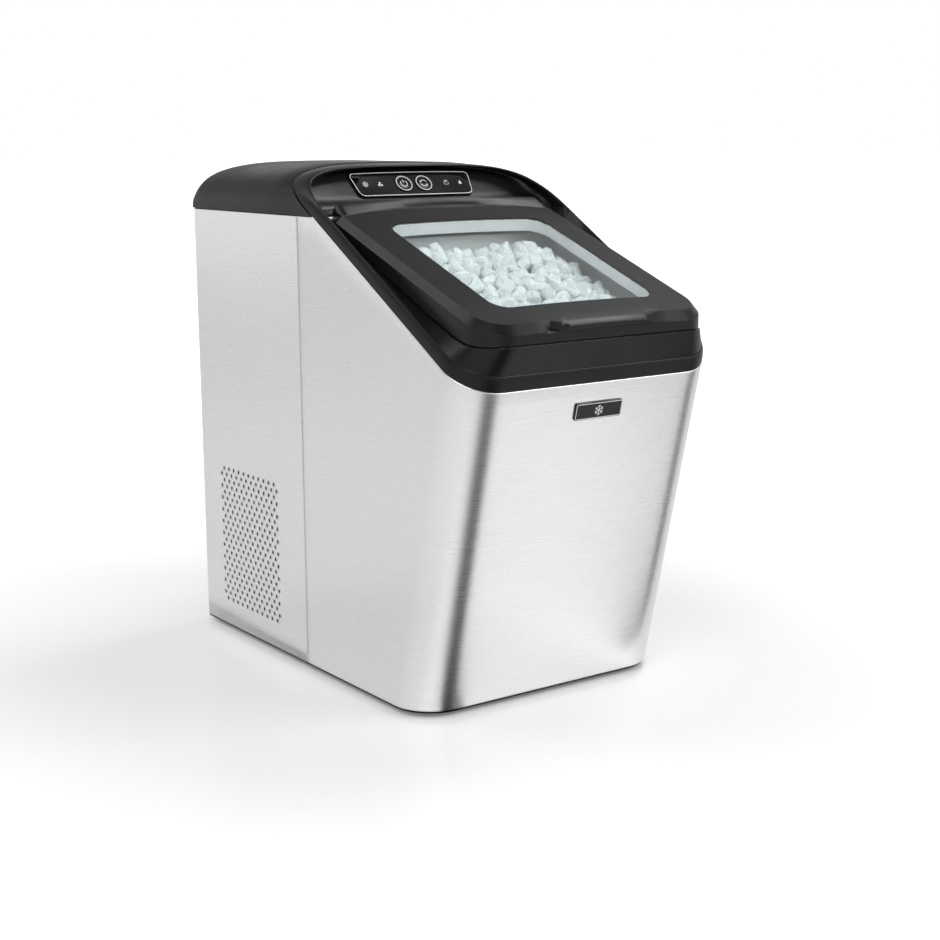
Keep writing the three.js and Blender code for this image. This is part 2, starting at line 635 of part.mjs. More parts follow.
function barrel() {
  const { x, y, top } = AUGER;
  const bore = bar(BARREL.inner, HOUSING.top + 6, top + 5, x, y);
  const wall = bar(BARREL.outer, HOUSING.top + GAP, top, x, y).subtract(bore);
  return wall.subtract(bar(5.6, 60, 100, x, y, 5.6, 16));
}

function barrelFoam() {
  const { x, y, top } = AUGER;
  const sleeve = bar(BARREL.foam, HOUSING.top + 6, top - 4, x, y, BARREL.foam, 28);
  return sleeve.subtract(bar(BARREL.outer + GAP, 60, 300, x, y));
}

function extruderHead() {
  const { x, y, top } = AUGER;
  const flange = bar(26, top + GAP, top + 28, x, y);
  const spout = box(38, 30, 22, x, y - 22, top + 5);
  const passage = box(30, 44, 14, x, y - 20, top + 9);
  const throat = bar(15, top - 2, top + 16, x, y, 15, 20);
  return flange.add(spout).subtract(joined(passage, throat));
}

function iceChute() {
  const { x, y, top } = AUGER;
  const from = 98;
  const to = y - 37.4;
  const outside = box(40, to - from, 28, x, (from + to) / 2, top + 8.5);
  const inside = box(35, 60, 23, x, (from + to) / 2, top + 11);
  return outside.subtract(inside);
}

piece('freezer_barrel', barrel(), ALLOY);
piece('barrel_insulation', barrelFoam(), FOAM);
piece('extruder_head', extruderHead(), NYLON);
piece('ice_chute', iceChute(), WHITE);

// ---- Refrigeration ------------------------------------------------------------------------
function compressor() {
  const { x, y, radius, bottom, top } = COMPRESSOR;
  const profile = [[0, bottom], [radius * 0.7, bottom], [radius * 0.93, bottom + 7], [radius, bottom + 20]];
  profile.push([radius, top - 34], [radius * 0.93, top - 17], [radius * 0.68, top - 5]);
  profile.push([radius * 0.3, top], [0, top]);
  const shell = turnedBody(profile, x, y);
  const legs = box(92, 92, 3, x, y, bottom - 6).add(bar(30, bottom - 6, bottom + 3, x, y));
  const terminals = box(34, 16, 30, x, y + radius + 4, 70);
  return joined(shell, legs, terminals);
}

function grommet(x, y) {
  return bar(7, 0.4, COMPRESSOR.bottom - 6.4, x, y, 6, 14);
}

function condenser() {
  const width = 20;
  const core = box(width, 92, 116, -95, FAN.y, 20);
  const slots = [];
  for (let i = 0; i < 13; i += 1) slots.push(box(width - 6, 84, 3.4, -99.5, FAN.y, 26 + i * 8));
  return core.subtract(joined(...slots));
}

function fanShroud() {
  const mouth = barAlong('x', FAN.radius + 2.5, -100, -60, FAN.y, FAN.z, 32);
  const frame = box(3, 92, 116, FAN.x - 14, FAN.y, 20).subtract(mouth);
  const depth = barAlong('x', FAN.radius + 4.5, FAN.x - 15.5, FAN.x - 4, FAN.y, FAN.z, 32);
  return frame.add(depth.subtract(mouth));
}

// Flat twisted blades on a hub, turning about X.
function fanBlade() {
  const hub = barAlong('x', FAN.hub, FAN.x - 8, FAN.x + 4, 0, 0, 20);
  const blades = [];
  for (let i = 0; i < FAN.blades; i += 1) {
    const rings = [0, 0.5, 1].map((t) => {
      const radius = FAN.hub - 3 + t * (FAN.radius - FAN.hub + 2);
      const chord = 8 + 4 * t;
      const lean = 0.75 - 0.3 * t;
      const turn = i / FAN.blades * 2 * Math.PI;
      return [[-1, -0.7], [1, -0.7], [1, 0.7], [-1, 0.7]].map(([u, v]) => {
        const along = u * chord * Math.cos(lean);
        const through = u * chord * 0.62 * Math.sin(lean) + v;
        const y = radius * Math.cos(turn) - along * Math.sin(turn);
        const z = radius * Math.sin(turn) + along * Math.cos(turn);
        return new THREE.Vector3(FAN.x - 2 + through, y, z);
      });
    });
    blades.push(loft(rings));
  }
  const shaft = barAlong('x', 1.7, FAN.x, FAN.x + 7.6, 0, 0, 10);
  return joined(hub, ...blades, shaft);
}

function fanMotor() {
  const body = barAlong('x', 17, FAN.x + 8, FAN.x + 34, FAN.y, FAN.z, 20);
  const bracket = box(4, 104, 8, FAN.x + 22, FAN.y, FAN.z - 4);
  const legs = [-1, 1].map((side) => box(4, 6, FAN.z - 0.5, FAN.x + 22, FAN.y + side * 49, 0.5));
  return joined(body, bracket, ...legs);
}

piece('compressor', compressor(), ENAMEL);
for (const [i, [x, y]] of [[-38, -38], [38, -38], [-38, 38], [38, 38]].entries()) {
  piece(`compressor_grommet_${i + 1}`, grommet(COMPRESSOR.x + x, COMPRESSOR.y + y), RUBBER);
}
piece('condenser', condenser(), ALLOY);
piece('fan_shroud', fanShroud(), ENAMEL);
piece('fan_blade', fanBlade(), ENAMEL).position.set(0, FAN.y, FAN.z);
piece('fan_motor', fanMotor(), ALLOY);
const DRIER = [[0, 95], [3, 95], [9, 103], [9, 157], [3, 165], [0, 165]];
piece('filter_drier', turnedBody(DRIER, -24, 304, 16), COPPER);

piece('discharge_line', tube([
  [46, 250, 150.6], [46, 250, 176], [30, 266, 198], [-40, 284, 200],
  [-88, 284, 182], [-95, 284, 158], [-95, 284, 136.6],
], 3), COPPER);
piece('liquid_line', tube([
  [-95, 212, 136.6], [-95, 212, 152], [-84, 236, 164], [-50, 294, 178], [-24, 304, 178], [-24, 304, 165.6],
], 2.5), COPPER);
piece('capillary_tube', tube([
  [-24, 304, 94.4], [-24, 302, 80], [-22, 270, 62], [-19, 222, 84],
  [-36, 210, 108], [-40, 204, 116], [-40, 194.6, 116],
], 1.6, 20, 8), COPPER);
piece('suction_line', tube([
  [-40, 194.8, 226], [-40, 205, 226], [-4, 214, 224], [50, 226, 210],
  [70, 240, 190], [70, 246, 160], [70, 247, 150],
], 4), COPPER);

// ---- Water side ---------------------------------------------------------------------------
function pump() {
  const body = bar(17, 0.5, 40, 60, 30);
  const inlet = bar(4.5, 39, 56, 60, 30, 4.5, 12);
  const outlet = barAlong('y', 4, 40, 56, 50, 20, 12);
  return joined(body, inlet, outlet);
}

piece('water_pump', pump(), ENAMEL);
piece('supply_hose', tube([[60, 30, 56.4], [60, 30, 80], [60, 30, 111]], 5, 4, 10), NYLON);
piece('feed_hose', tube([
  [50, 56.6, 20], [50, 66, 20], [36, 88, 24], [-10, 100, 52],
  [-36, 104, 84], [-40, 112, 94], [-40, 125.6, 95],
], 4.5, 24, 8), NYLON);
piece('drain_hose', tube([
  [84, 80, 111], [84, 82, 92], [98, 110, 50], [103, 150, 18], [103.4, 200, 10],
  [103.4, 270, 10], [101, 298, 16], [84, 311, 26], [84, 318.6, 26],
], 4, 30, 8), NYLON);

function drainSpout() {
  const flange = barAlong('y', DRAIN.radius + 4, REAR + 0.2, REAR + 2, DRAIN.x, DRAIN.z);
  const neck = barAlong('y', DRAIN.radius, REAR - 9, REAR + 4, DRAIN.x, DRAIN.z);
  return flange.add(neck).subtract(barAlong('y', DRAIN.radius - 2, REAR - 7, REAR + 8, DRAIN.x, DRAIN.z));
}

function drainCap() {
  const head = barAlong('y', DRAIN.radius + 1.5, REAR + 4.3, REAR + 7, DRAIN.x, DRAIN.z);
  return head.add(barAlong('y', DRAIN.radius - 2.4, REAR - 4, REAR + 5, DRAIN.x, DRAIN.z));
}

function powerInlet() {
  const { x, z, width, height } = INLET;
  const low = z - height / 2;
  const flange = box(width + 14, 1.8, height + 6, x, REAR + 1.1, low - 3);
  const body = box(width, 18, height, x, REAR - 7, low);
  const socket = box(width - 8, 18, height - 8, x, REAR - 4, low + 4);
  const blades = [[-7, -4], [7, -4], [0, 2]].map(([dx, dz]) => box(4, 13, 2, x + dx, REAR - 8, z + dz));
  return joined(flange.add(body).subtract(socket), ...blades);
}

piece('drain_spout', drainSpout(), BLACK);
piece('drain_cap', drainCap(), RUBBER);
piece('power_inlet', powerInlet(), BLACK);
piece('ice_level_sensor', box(14, 14, 12, 60, BIN.rear + 8.5, 300), ENAMEL);

machine.position.set(0, -MID_Y, LIFT);
const whole = new THREE.Group();
whole.add(machine);
export default whole;
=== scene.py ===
import json
import math

import bpy
import numpy as np
from mathutils import Matrix, Vector
from mathutils.geometry import delaunay_2d_cdt


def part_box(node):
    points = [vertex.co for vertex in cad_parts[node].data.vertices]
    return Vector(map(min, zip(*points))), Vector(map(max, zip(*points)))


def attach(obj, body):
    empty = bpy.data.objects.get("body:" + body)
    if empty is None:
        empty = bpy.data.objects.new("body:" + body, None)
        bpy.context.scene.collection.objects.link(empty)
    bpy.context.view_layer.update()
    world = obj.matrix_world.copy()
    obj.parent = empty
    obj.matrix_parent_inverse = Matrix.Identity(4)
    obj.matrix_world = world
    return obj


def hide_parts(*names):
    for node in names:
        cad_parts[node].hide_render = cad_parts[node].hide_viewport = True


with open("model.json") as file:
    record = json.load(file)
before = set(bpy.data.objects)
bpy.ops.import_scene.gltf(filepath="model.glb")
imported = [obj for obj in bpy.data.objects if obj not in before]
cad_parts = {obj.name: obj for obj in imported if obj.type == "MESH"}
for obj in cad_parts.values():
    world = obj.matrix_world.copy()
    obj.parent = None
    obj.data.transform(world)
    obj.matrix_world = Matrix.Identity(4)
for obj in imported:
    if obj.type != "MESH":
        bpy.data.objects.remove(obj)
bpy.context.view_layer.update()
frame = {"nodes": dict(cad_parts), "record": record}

# Layout of the machine in millimetres: y is 0 at the front bottom edge of the steel, z is 0 at
# its bottom edge, x is 0 in the middle. MM and ORIGIN carry a layout point into the frame.
MM = 0.001
steel_low, steel_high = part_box("front_shell")
_, rear_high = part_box("rear_shell")
HALF = steel_high.x / MM
REAR = 328.5
ORIGIN = np.array([0.0, rear_high.y - REAR * MM, steel_low.z])
MIRROR = np.array([-1.0, 1.0, 1.0])

# Steel
STEEL_TOP = 346.0
STEEL_WALL = 0.8
LEAN = 0.24  # forward lean of the front per unit of height
SLOPE = 0.571  # fall of the slanted edge towards the front
KINK_Y = 135.0  # where the slanted edge meets the level one
SEAM_Y = 157.0
REAR_SEAM_Y = SEAM_Y + 1.35  # front edge of the rear steel
CORNER_R = 32.0
REAR_CORNER_R = 3.0
ROLL = 1.2  # radius of the steel's rolled edges
FLANGE = 4.0  # reach of the flange behind a rolled edge
QUARTER = np.radians(np.linspace(0, 90, 5))
ROLL_IN, ROLL_UP = ROLL * (1 - np.cos(QUARTER)), ROLL * np.sin(QUARTER)
VENT = {"y": 196.6, "cell": 8.4, "columns": 12, "z": 19.45, "pitch": 5.09, "rows": 23, "hole": 1.6}
VENT_TOP = VENT["z"] + VENT["pitch"] * VENT["rows"]

# Black casing
BLACK_Z = STEEL_TOP + 0.4  # the black parts begin a hair above the steel
CROWN = 36.0  # rise of the rounded top
ROUND = 3.2  # exponent of its shoulder
REAR_ROUND = 14.0  # run of its quarter round at the rear
RIM_ROUND = 4.0  # exponent of the rim round the recess
BAND = 11.2  # width of the bezel's band
SHELF = 5.0  # reach of the bezel's ledge under the lid

# Lid, window, panel and ice
LID_HALF, LID_FRONT, LID_REAR = 101.0, -63.5, 130.0
LID_RISE, LID_LEVEL = 0.364, 301.8
LID_BEVEL, LID_CORNER_R = 5.0, 26.0
LID_CROWN = 2.4
WINDOW_HALF, WINDOW_FRONT, WINDOW_REAR, WINDOW_R = 71.0, -36.0, 103.0, 13.0
PANEL_TILT = math.radians(49.8)
PANEL_Y, PANEL_Z = 172.7, 365.5
BUTTON_X = 9.3
PLATE_X, PLATE_Z = 3.0, 216.3
INLET_X, INLET_Z = -72, 40
LIFT_ROOM = 9.4  # least depth of the ice below the lid's top, so that the basket can lift


# ---- Meshes from grids ---------------------------------------------------------------------
def place(points):
    """Layout millimetres to metres in the frame."""
    return np.asarray(points, float) * MM + ORIGIN


def new_object(name, data):
    obj = bpy.data.objects.new(name, data)
    bpy.context.scene.collection.objects.link(obj)
    return obj


def make_piece(name, shape, material, body="casing", replaces=(), crisp=30.0):
    """A mesh object from the points and faces of a shape in the layout. Edges sharper than the
    crisp angle stay crisp. The piece rides on its body."""
    points, faces = shape
    mesh = bpy.data.meshes.new(name)
    mesh.from_pydata(place(points).tolist(), [], [list(face) for face in faces])
    mesh.validate()
    mesh.update()
    mesh.materials.append(material)
    obj = new_object(name, mesh)
    if crisp is not None:
        mesh.polygons.foreach_set("use_smooth", np.ones(len(mesh.polygons), bool))
        bpy.context.view_layer.objects.active = obj
        obj.select_set(True)
        bpy.ops.object.shade_smooth_by_angle(angle=math.radians(crisp))
        obj.select_set(False)
    if replaces:
        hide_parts(*replaces)
    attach(obj, body)
    return obj


def thicken(piece, wall):
    """Gives a sheet its thickness in millimetres, on the side away from its normals."""
    solidify = piece.modifiers.new("wall", "SOLIDIFY")
    solidify.thickness = wall * MM
    solidify.offset = -1.0


def grid_mesh(grid, loop_rows=False, loop_cols=False):
    """Points and quads of a grid (rows, cols, 3); a loop joins its last row or column to the
    first."""
    grid = np.asarray(grid, float)
    rows, cols = grid.shape[:2]
    r = np.arange(rows if loop_rows else rows - 1)
    c = np.arange(cols if loop_cols else cols - 1)
    r, c = (a.ravel() for a in np.meshgrid(r, c, indexing="ij"))
    r2, c2 = (r + 1) % rows, (c + 1) % cols
    faces = np.stack([r * cols + c, r * cols + c2, r2 * cols + c2, r2 * cols + c], axis=1)
    return grid.reshape(-1, 3), faces.tolist()


def merged(*parts):
    """Several shapes as one."""
    points, faces, start = [], [], 0
    for part_points, part_faces in parts:
        points.append(np.asarray(part_points, float))
        faces.extend([[i + start for i in face] for face in part_faces])
        start += len(part_points)
    return np.concatenate(points), faces


def with_mirror(shape):
    """A shape and its mirror image across the middle."""
    points, faces = shape
    return merged(shape, (points * MIRROR, [face[::-1] for face in faces]))


def welded(points, faces):
    """Points closer than a hundredth of a millimetre made one, and flat slivers dropped."""
    keys = np.round(points * 100).astype(int)
    _, first, inverse = np.unique(keys, axis=0, return_index=True, return_inverse=True)
    inverse = inverse.ravel()
    kept = []
    for face in faces:
        ring = []
        for i in inverse[face]:
            if not ring or ring[-1] != i:
                ring.append(int(i))
        if ring[0] == ring[-1]:
            ring.pop()
        if len(ring) > 2:
            kept.append(ring)
    return points[first], kept


def outward(points, faces):
    """A shape with its faces turned so that the signed volume under them is positive."""
    volume = 0.0
    for face in faces:
        for b, c in zip(face[1:], face[2:]):
            volume += np.dot(points[face[0]], np.cross(points[b], points[c]))
    return points, [face[::-1] for face in faces] if volume < 0 else faces


def facing(shape, inside):
    """A shape with its faces turned so that on the whole they look away from a point."""
    points, faces = shape
    p = points - np.asarray(inside, float)
    total = 0.0
    for face in faces:
        q = p[face]
        normal = np.cross(q, np.roll(q, -1, axis=0)).sum(axis=0)
        total += np.dot(normal, q.mean(axis=0))
    return points, [face[::-1] for face in faces] if total < 0 else faces


def closed_skin(rings, loop=False):
    """A skin over closed rings, with flat ends unless the rings form a loop."""
    points, faces = grid_mesh(rings, loop_rows=loop, loop_cols=True)
    if not loop:
        size = len(rings[0])
        faces += [list(range(size))[::-1], list(range(len(points) - size, len(points)))]
    return outward(points, faces)


def poled_skin(rings, first_pole, last_pole):
    """A skin over closed rings that runs to a single point at either end."""
    points, faces = grid_mesh(rings, loop_cols=True)
    size, count = len(rings[0]), len(points)
    last = count - size
    faces += [[count, (j + 1) % size, j] for j in range(size)]
    faces += [[count + 1, last + j, last + (j + 1) % size] for j in range(size)]
    return outward(np.concatenate([points, [first_pole, last_pole]]), faces)


def turned(profile, sides=48):
    """A turned body about z: (radius, height) pairs that start and end on the axis."""
    angle = np.linspace(0, 2 * math.pi, sides, endpoint=False)
    rings = [
        np.column_stack([r * np.cos(angle), r * np.sin(angle), np.full(sides, h)])
        for r, h in profile[1:-1]
    ]
    return poled_skin(rings, (0, 0, profile[0][1]), (0, 0, profile[-1][1]))


def turn_about_x(shape, angle, centre):
    """A shape turned about an axis along x, then moved so that 0 is at the centre."""
    points, faces = shape
    c, s = math.cos(angle), math.sin(angle)
    x, y, z = points.T
    return np.column_stack([x, c * y - s * z, s * y + c * z]) + np.asarray(centre, float), faces


def lifted(outline, height):
    """Points of a plane outline at a height, which is a number or one for each point."""
    return np.column_stack([outline, np.broadcast_to(height, len(outline))])


def rounded_outline(half, front, rear, radii, corner, stations):
    """A rectangle with round corners, anticlockwise from its right rear corner. The radii are
    for the front and the rear corners, corner counts the points of each, and the stations say
    where the points of each side lie between its ends."""
    front_r, rear_r = radii
    corners = [(half, rear, rear_r), (-half, rear, rear_r), (-half, front, front_r), (half, front, front_r)]
    arcs = []
    for quarter, (x, y, r) in enumerate(corners):
        centre = np.array([x - math.copysign(r, x), y - r if y == rear else y + r])
        angle = (quarter + np.linspace(0, 1, corner)) * math.pi / 2
        arcs.append(centre + r * np.column_stack([np.cos(angle), np.sin(angle)]))
    out = []
    for i, t in enumerate(stations):
        t = t[:, None]
        out += [arcs[i], arcs[i][-1] * (1 - t) + arcs[(i + 1) % 4][0] * t]
    return np.concatenate(out)


def between(count):
    """Even stations inside a side."""
    return np.linspace(0, 1, count + 2)[1:-1]


def plate_outline(half, high, radius, corner, straight):
    """A rounded rectangle about the middle."""
    return rounded_outline(half, -high, high, (radius, radius), corner, [between(straight)] * 4)


# ---- Shader nodes --------------------------------------------------------------------------
def feed(tree, socket, value):
    """Links an output to a socket, or sets a plain value on it."""
    if isinstance(value, bpy.types.NodeSocket):
        tree.links.new(value, socket)
    else:
        socket.default_value = value


def add(tree, kind, inputs=None, **settings):
    """The outputs of a new shader node, its inputs fed by name or number."""
    node = tree.nodes.new("ShaderNode" + kind)
    for key, value in settings.items():
        setattr(node, key, value)
    for key, value in (inputs or {}).items():
        feed(tree, node.inputs[key], value)
    return node.outputs


def math_node(tree, operation, a, b, clamp=False):
    return add(tree, "Math", {0: a, 1: b}, operation=operation, use_clamp=clamp)[0]


def mix_colour(tree, factor, a, b):
    return add(tree, "Mix", {0: factor, 6: (*a, 1.0), 7: (*b, 1.0)}, data_type="RGBA")[2]


def noise(tree, vector, scale, detail, roughness):
    inputs = {"Vector": vector, "Scale": scale, "Detail": detail, "Roughness": roughness}
    return add(tree, "TexNoise", inputs)["Fac"]


def ramp(tree, factor, low, high, out_low=0.0, out_high=1.0):
    inputs = {"Value": factor, "From Min": low, "From Max": high, "To Min": out_low, "To Max": out_high}
    return add(tree, "MapRange", inputs)["Result"]


def new_group(name, inputs, outputs):
    """An empty node group. An input without a value is a vector, every other socket a float."""
    group = bpy.data.node_groups.new(name, "ShaderNodeTree")
    for label, value in inputs.items():
        kind = "NodeSocketVector" if value is None else "NodeSocketFloat"
        socket = group.interface.new_socket(label, in_out="INPUT", socket_type=kind)
        if value is not None:
            socket.default_value = value
    for label in outputs:
        group.interface.new_socket(label, in_out="OUTPUT", socket_type="NodeSocketFloat")
    return group, group.nodes.new("NodeGroupInput").outputs, group.nodes.new("NodeGroupOutput").inputs


def brushed_grain_group():
    """Fine level scratches: noise stretched along x and y and tight along z, in two sizes."""
    group, inside, outside = new_group("brushed_grain", {"Vector": None, "Fineness": 1.0}, ("Grain", "Cloud"))
    scaling = {0: inside["Vector"], "Scale": inside["Fineness"]}
    scaled = add(group, "VectorMath", scaling, operation="SCALE")[0]
    layers = []
    for stretch, roughness, share in (((22, 22, 5200), 0.6, 0.7), ((7, 7, 1700), 0.5, 0.3)):
        vector = add(group, "Mapping", {"Vector": scaled, "Scale": stretch})["Vector"]
        layers.append(math_node(group, "MULTIPLY", noise(group, vector, 1.0, 2.0, roughness), share))
    feed(group, outside["Grain"], math_node(group, "ADD", *layers))
    feed(group, outside["Cloud"], noise(group, scaled, 9.0, 2.0, 0.5))
    return group


def moulded_group():
    """Satin moulded plastic: a fine spark-eroded grain, and faint broad shifts in gloss."""
    inputs = {"Vector": None, "Grain Size": 2200.0}
    group, inside, outside = new_group("moulded_texture", inputs, ("Grain", "Drift"))
    feed(group, outside["Grain"], noise(group, inside["Vector"], inside["Grain Size"], 2.0, 0.5))
    feed(group, outside["Drift"], noise(group, inside["Vector"], 22.0, 3.0, 0.55))
    return group


def painted_edge_highlight_group():
    """Painted edge highlight: where a bevelled normal leaves the true one there is an edge: 1 on edges, 0 on
    flats. The colour is lightened there to stand in for the highlight an edge catches.
    """
    group, inside, outside = new_group("painted_highlight_on_edges", {"Reach": 0.0008, "Strength": 1.0}, ("Edge",))
    bevelled = add(group, "Bevel", {"Radius": inside["Reach"]}, samples=4)[0]
    true = add(group, "NewGeometry")["Normal"]
    same = add(group, "VectorMath", {0: bevelled, 1: true}, operation="DOT_PRODUCT")["Value"]
    edge = ramp(group, same, 0.995, 0.85)
    feed(group, outside["Edge"], math_node(group, "MULTIPLY", edge, inside["Strength"], clamp=True))
    return group


BRUSHED = brushed_grain_group()
MOULDED = moulded_group()
EDGE_HIGHLIGHT = painted_edge_highlight_group()


# ---- Finishes ------------------------------------------------------------------------------
class Finish:
    """A material with its Principled shader and its Object coordinates at hand."""

    def __init__(self, name, colour, roughness, metallic=0.0, **constants):
        self.material = bpy.data.materials.new(name)
        self.material.use_nodes = True
        self.tree = self.material.node_tree
        self.shader = self.tree.nodes["Principled BSDF"]
        self.set("Base Color", (*colour, 1.0))
        self.set("Roughness", roughness)
        self.set("Metallic", metallic)
        for socket, value in constants.items():
            self.set(socket.replace("_", " "), value)
        self.coordinates = add(self.tree, "TexCoord")["Object"]

    def set(self, socket, value):
        feed(self.tree, self.shader.inputs[socket], value)

    def group(self, group, **values):
        """The outputs of a group node; it takes the Object coordinates if it has a vector."""
        node = self.tree.nodes.new("ShaderNodeGroup")
        node.node_tree = group
        if "Vector" in node.inputs:
            feed(self.tree, node.inputs["Vector"], self.coordinates)
        for socket, value in values.items():
            feed(self.tree, node.inputs[socket.replace("_", " ")], value)
        return node.outputs

    def tone(self, factor, a, b):
        self.set("Base Color", mix_colour(self.tree, factor, a, b))

    def gloss(self, factor, low, high):
        """Roughness from low to high over the middle range of a noise."""
        self.set("Roughness", ramp(self.tree, factor, 0.3, 0.7, low, high))

    def bump(self, height, strength, distance):
        inputs = {"Height": height, "Strength": strength, "Distance": distance}
        self.set("Normal", add(self.tree, "Bump", inputs)["Normal"])


def brushed_steel():
    """Brushed stainless sheet: grey metal, its gloss and tone broken by level scratches."""
    f = Finish("brushed_steel", (0.80, 0.805, 0.81), 0.3, 1.0, Anisotropic=0.6)
    grain = f.group(BRUSHED)["Grain"]
    f.tone(grain, (0.765, 0.77, 0.782), (0.81, 0.815, 0.825))
    f.gloss(grain, 0.25, 0.33)
    f.bump(grain, 0.03, 0.00003)
    return f.material


def satin_plastic(name, colour, light, rough=0.36):
    """Black satin moulding: fine grain in relief, gloss that drifts, and a painted highlight that makes its
    edges a little lighter.
    """
    f = Finish(name, colour, rough, Specular_IOR_Level=0.28)
    out = f.group(MOULDED)
    # painted highlight: the edges' colour is mixed towards the lighter colour
    f.tone(f.group(EDGE_HIGHLIGHT)["Edge"], colour, light)
    f.gloss(out["Drift"], rough - 0.06, rough + 0.06)
    f.bump(out["Grain"], 0.12, 0.00004)
    return f.material


def gloss_plastic(name, colour):
    """Gloss black film: nearly a mirror, with faint haze."""
    f = Finish(name, colour, 0.12, Specular_IOR_Level=0.3)
    f.gloss(f.group(MOULDED)["Drift"], 0.08, 0.16)
    return f.material


def clear_pane():
    """Clear acrylic: light passes straight through it to what is below."""
    f = Finish("clear_pane", (0.93, 0.97, 0.97), 0.03, Transmission_Weight=1.0, IOR=1.45)
    shadow = add(f.tree, "LightPath")["Is Shadow Ray"]
    through = add(f.tree, "BsdfTransparent")[0]
    mix = add(f.tree, "MixShader", {"Fac": shadow, 1: f.shader.outputs[0], 2: through})[0]
    feed(f.tree, f.tree.nodes["Material Output"].inputs["Surface"], mix)
    return f.material


def ice_finish():
    """Chewed ice: cloudy white with a cold tint, glassy on the outside."""
    f = Finish("nugget_ice", (0.90, 0.96, 0.965), 0.22, IOR=1.31, Transmission_Weight=0.15)
    cloud = noise(f.tree, f.coordinates, 240.0, 4.0, 0.6)
    f.tone(ramp(f.tree, cloud, 0.35, 0.68), (0.96, 0.985, 0.985), (0.80, 0.895, 0.895))
    f.gloss(cloud, 0.12, 0.4)
    f.bump(noise(f.tree, f.coordinates, 420.0, 3.0, 0.6), 0.35, 0.0006)
    return f.material


def plain_moulding(name, colour, rough=0.45):
    """Plain moulding or casting: its tone drifts a little and it has a fine grain."""
    f = Finish(name, colour, rough)
    out = f.group(MOULDED, Grain_Size=1500.0)
    f.tone(out["Drift"], [c * 0.85 for c in colour], colour)
    f.gloss(out["Drift"], rough - 0.05, rough + 0.05)
    f.bump(out["Grain"], 0.15, 0.00005)
    return f.material


def bare_metal(name, colour, rough=0.35):
    """Bare metal with a faint turned or drawn grain."""
    f = Finish(name, colour, rough, 1.0)
    out = f.group(BRUSHED, Fineness=0.6)
    f.tone(out["Grain"], [c * 0.8 for c in colour], colour)
    f.gloss(out["Cloud"], rough - 0.08, rough + 0.1)
    return f.material


def foam_finish():
    """Rigid foam: pale, matt, with open cells."""
    f = Finish("rigid_foam", (0.62, 0.60, 0.52), 0.9)
    cells = add(f.tree, "TexVoronoi", {"Vector": f.coordinates, "Scale": 700.0})["Distance"]
    f.tone(cells, (0.5, 0.48, 0.41), (0.72, 0.70, 0.62))
    f.bump(cells, 0.5, 0.0004)
    return f.material


STEEL = brushed_steel()
# the second colour of each black plastic is its painted edge highlight
BLACK = satin_plastic("black_casing", (0.004, 0.0042, 0.005), (0.03, 0.031, 0.034))
LID_BLACK = satin_plastic("black_lid", (0.006, 0.0063, 0.0072), (0.035, 0.036, 0.039), 0.34)
GLOSS = gloss_plastic("gloss_panel", (0.004, 0.004, 0.005))
PRINT = plain_moulding("silver_print", (0.78, 0.78, 0.78), 0.35)
PANE = clear_pane()
ICE = ice_finish()
LINER = plain_moulding("white_liner", (0.80, 0.82, 0.825), 0.4)
BRIGHT = bare_metal("bright_metal", (0.70, 0.71, 0.72))
NYLON_BLACK = plain_moulding("black_nylon", (0.03, 0.03, 0.032), 0.5)

SLOT_FINISH = {
    "steel": STEEL, "casing_plastic": BLACK, "panel_gloss": GLOSS, "window_clear": PANE,
    "liner_white": LINER, "bright_metal": BRIGHT, "black_nylon": NYLON_BLACK,
    "foam": foam_finish(),
    "fin_aluminium": bare_metal("fin_aluminium", (0.58, 0.59, 0.60), 0.45),
    "copper": bare_metal("copper_tube", (0.80, 0.42, 0.27), 0.3),
    "enamel": plain_moulding("black_enamel", (0.015, 0.015, 0.017), 0.3),
    "white_nylon": plain_moulding("white_nylon", (0.78, 0.76, 0.70), 0.5),
    "board": plain_moulding("green_board", (0.02, 0.14, 0.06), 0.4),
    "rubber": plain_moulding("black_rubber", (0.02, 0.02, 0.02), 0.8),
}
for part in frame["record"]["subparts"]:
    for slot in frame["nodes"][part["node"]].material_slots:
        slot.material = SLOT_FINISH[part["material_slot"]]


# ---- Camera, light and floor ---------------------------------------------------------------
def make_camera():
    """The camera stands in front and to the left, a little above the top of the machine."""
    data = bpy.data.cameras.new("camera")
    data.sensor_width = 36.0
    data.lens = 63.6
    data.clip_end = 50.0
    camera = new_object("camera", data)
    azimuth, elevation, roll = (math.radians(a) for a in (-35.521, 11.474, 0.282))
    level = math.cos(elevation)
    back = Vector((math.sin(azimuth) * level, -math.cos(azimuth) * level, math.sin(elevation)))
    turn = (-back).to_track_quat("-Z", "Y").to_matrix() @ Matrix.Rotation(-roll, 3, "Z")
    where = Vector(place((-732.91, -929.55, 405.35)))
    camera.matrix_world = Matrix.Translation(where) @ turn.to_4x4()
    bpy.context.scene.camera = camera


def area_light(name, towards, distance, size, power):
    """A soft light that stands in a direction from the lid and faces it."""
    data = bpy.data.lights.new(name, "AREA")
    data.shape = "RECTANGLE"
    data.size, data.size_y = size
    data.energy = power
    light = new_object(name, data)
    direction = Vector(towards).normalized()
    light.location = direction * distance + Vector((0, 0, 0.3))
    light.rotation_euler = (-direction).to_track_quat("-Z", "Y").to_euler()


def make_world():
    """White all round; what the machine sees of it fades from the horizon to the zenith."""
    world = bpy.data.worlds.new("studio")
    bpy.context.scene.world = world
    world.use_nodes = True
    tree = world.node_tree
    background = tree.nodes["Background"]
    height = add(tree, "SeparateXYZ", {0: add(tree, "TexCoord")["Generated"]})["Z"]
    fade = ramp(tree, height, 0.05, 0.55, 1.0, 0.22)
    strength = math_node(tree, "MAXIMUM", fade, add(tree, "LightPath")["Is Camera Ray"])
    feed(tree, background.inputs["Strength"], strength)
    background.inputs["Color"].default_value = (1, 1, 1, 1)


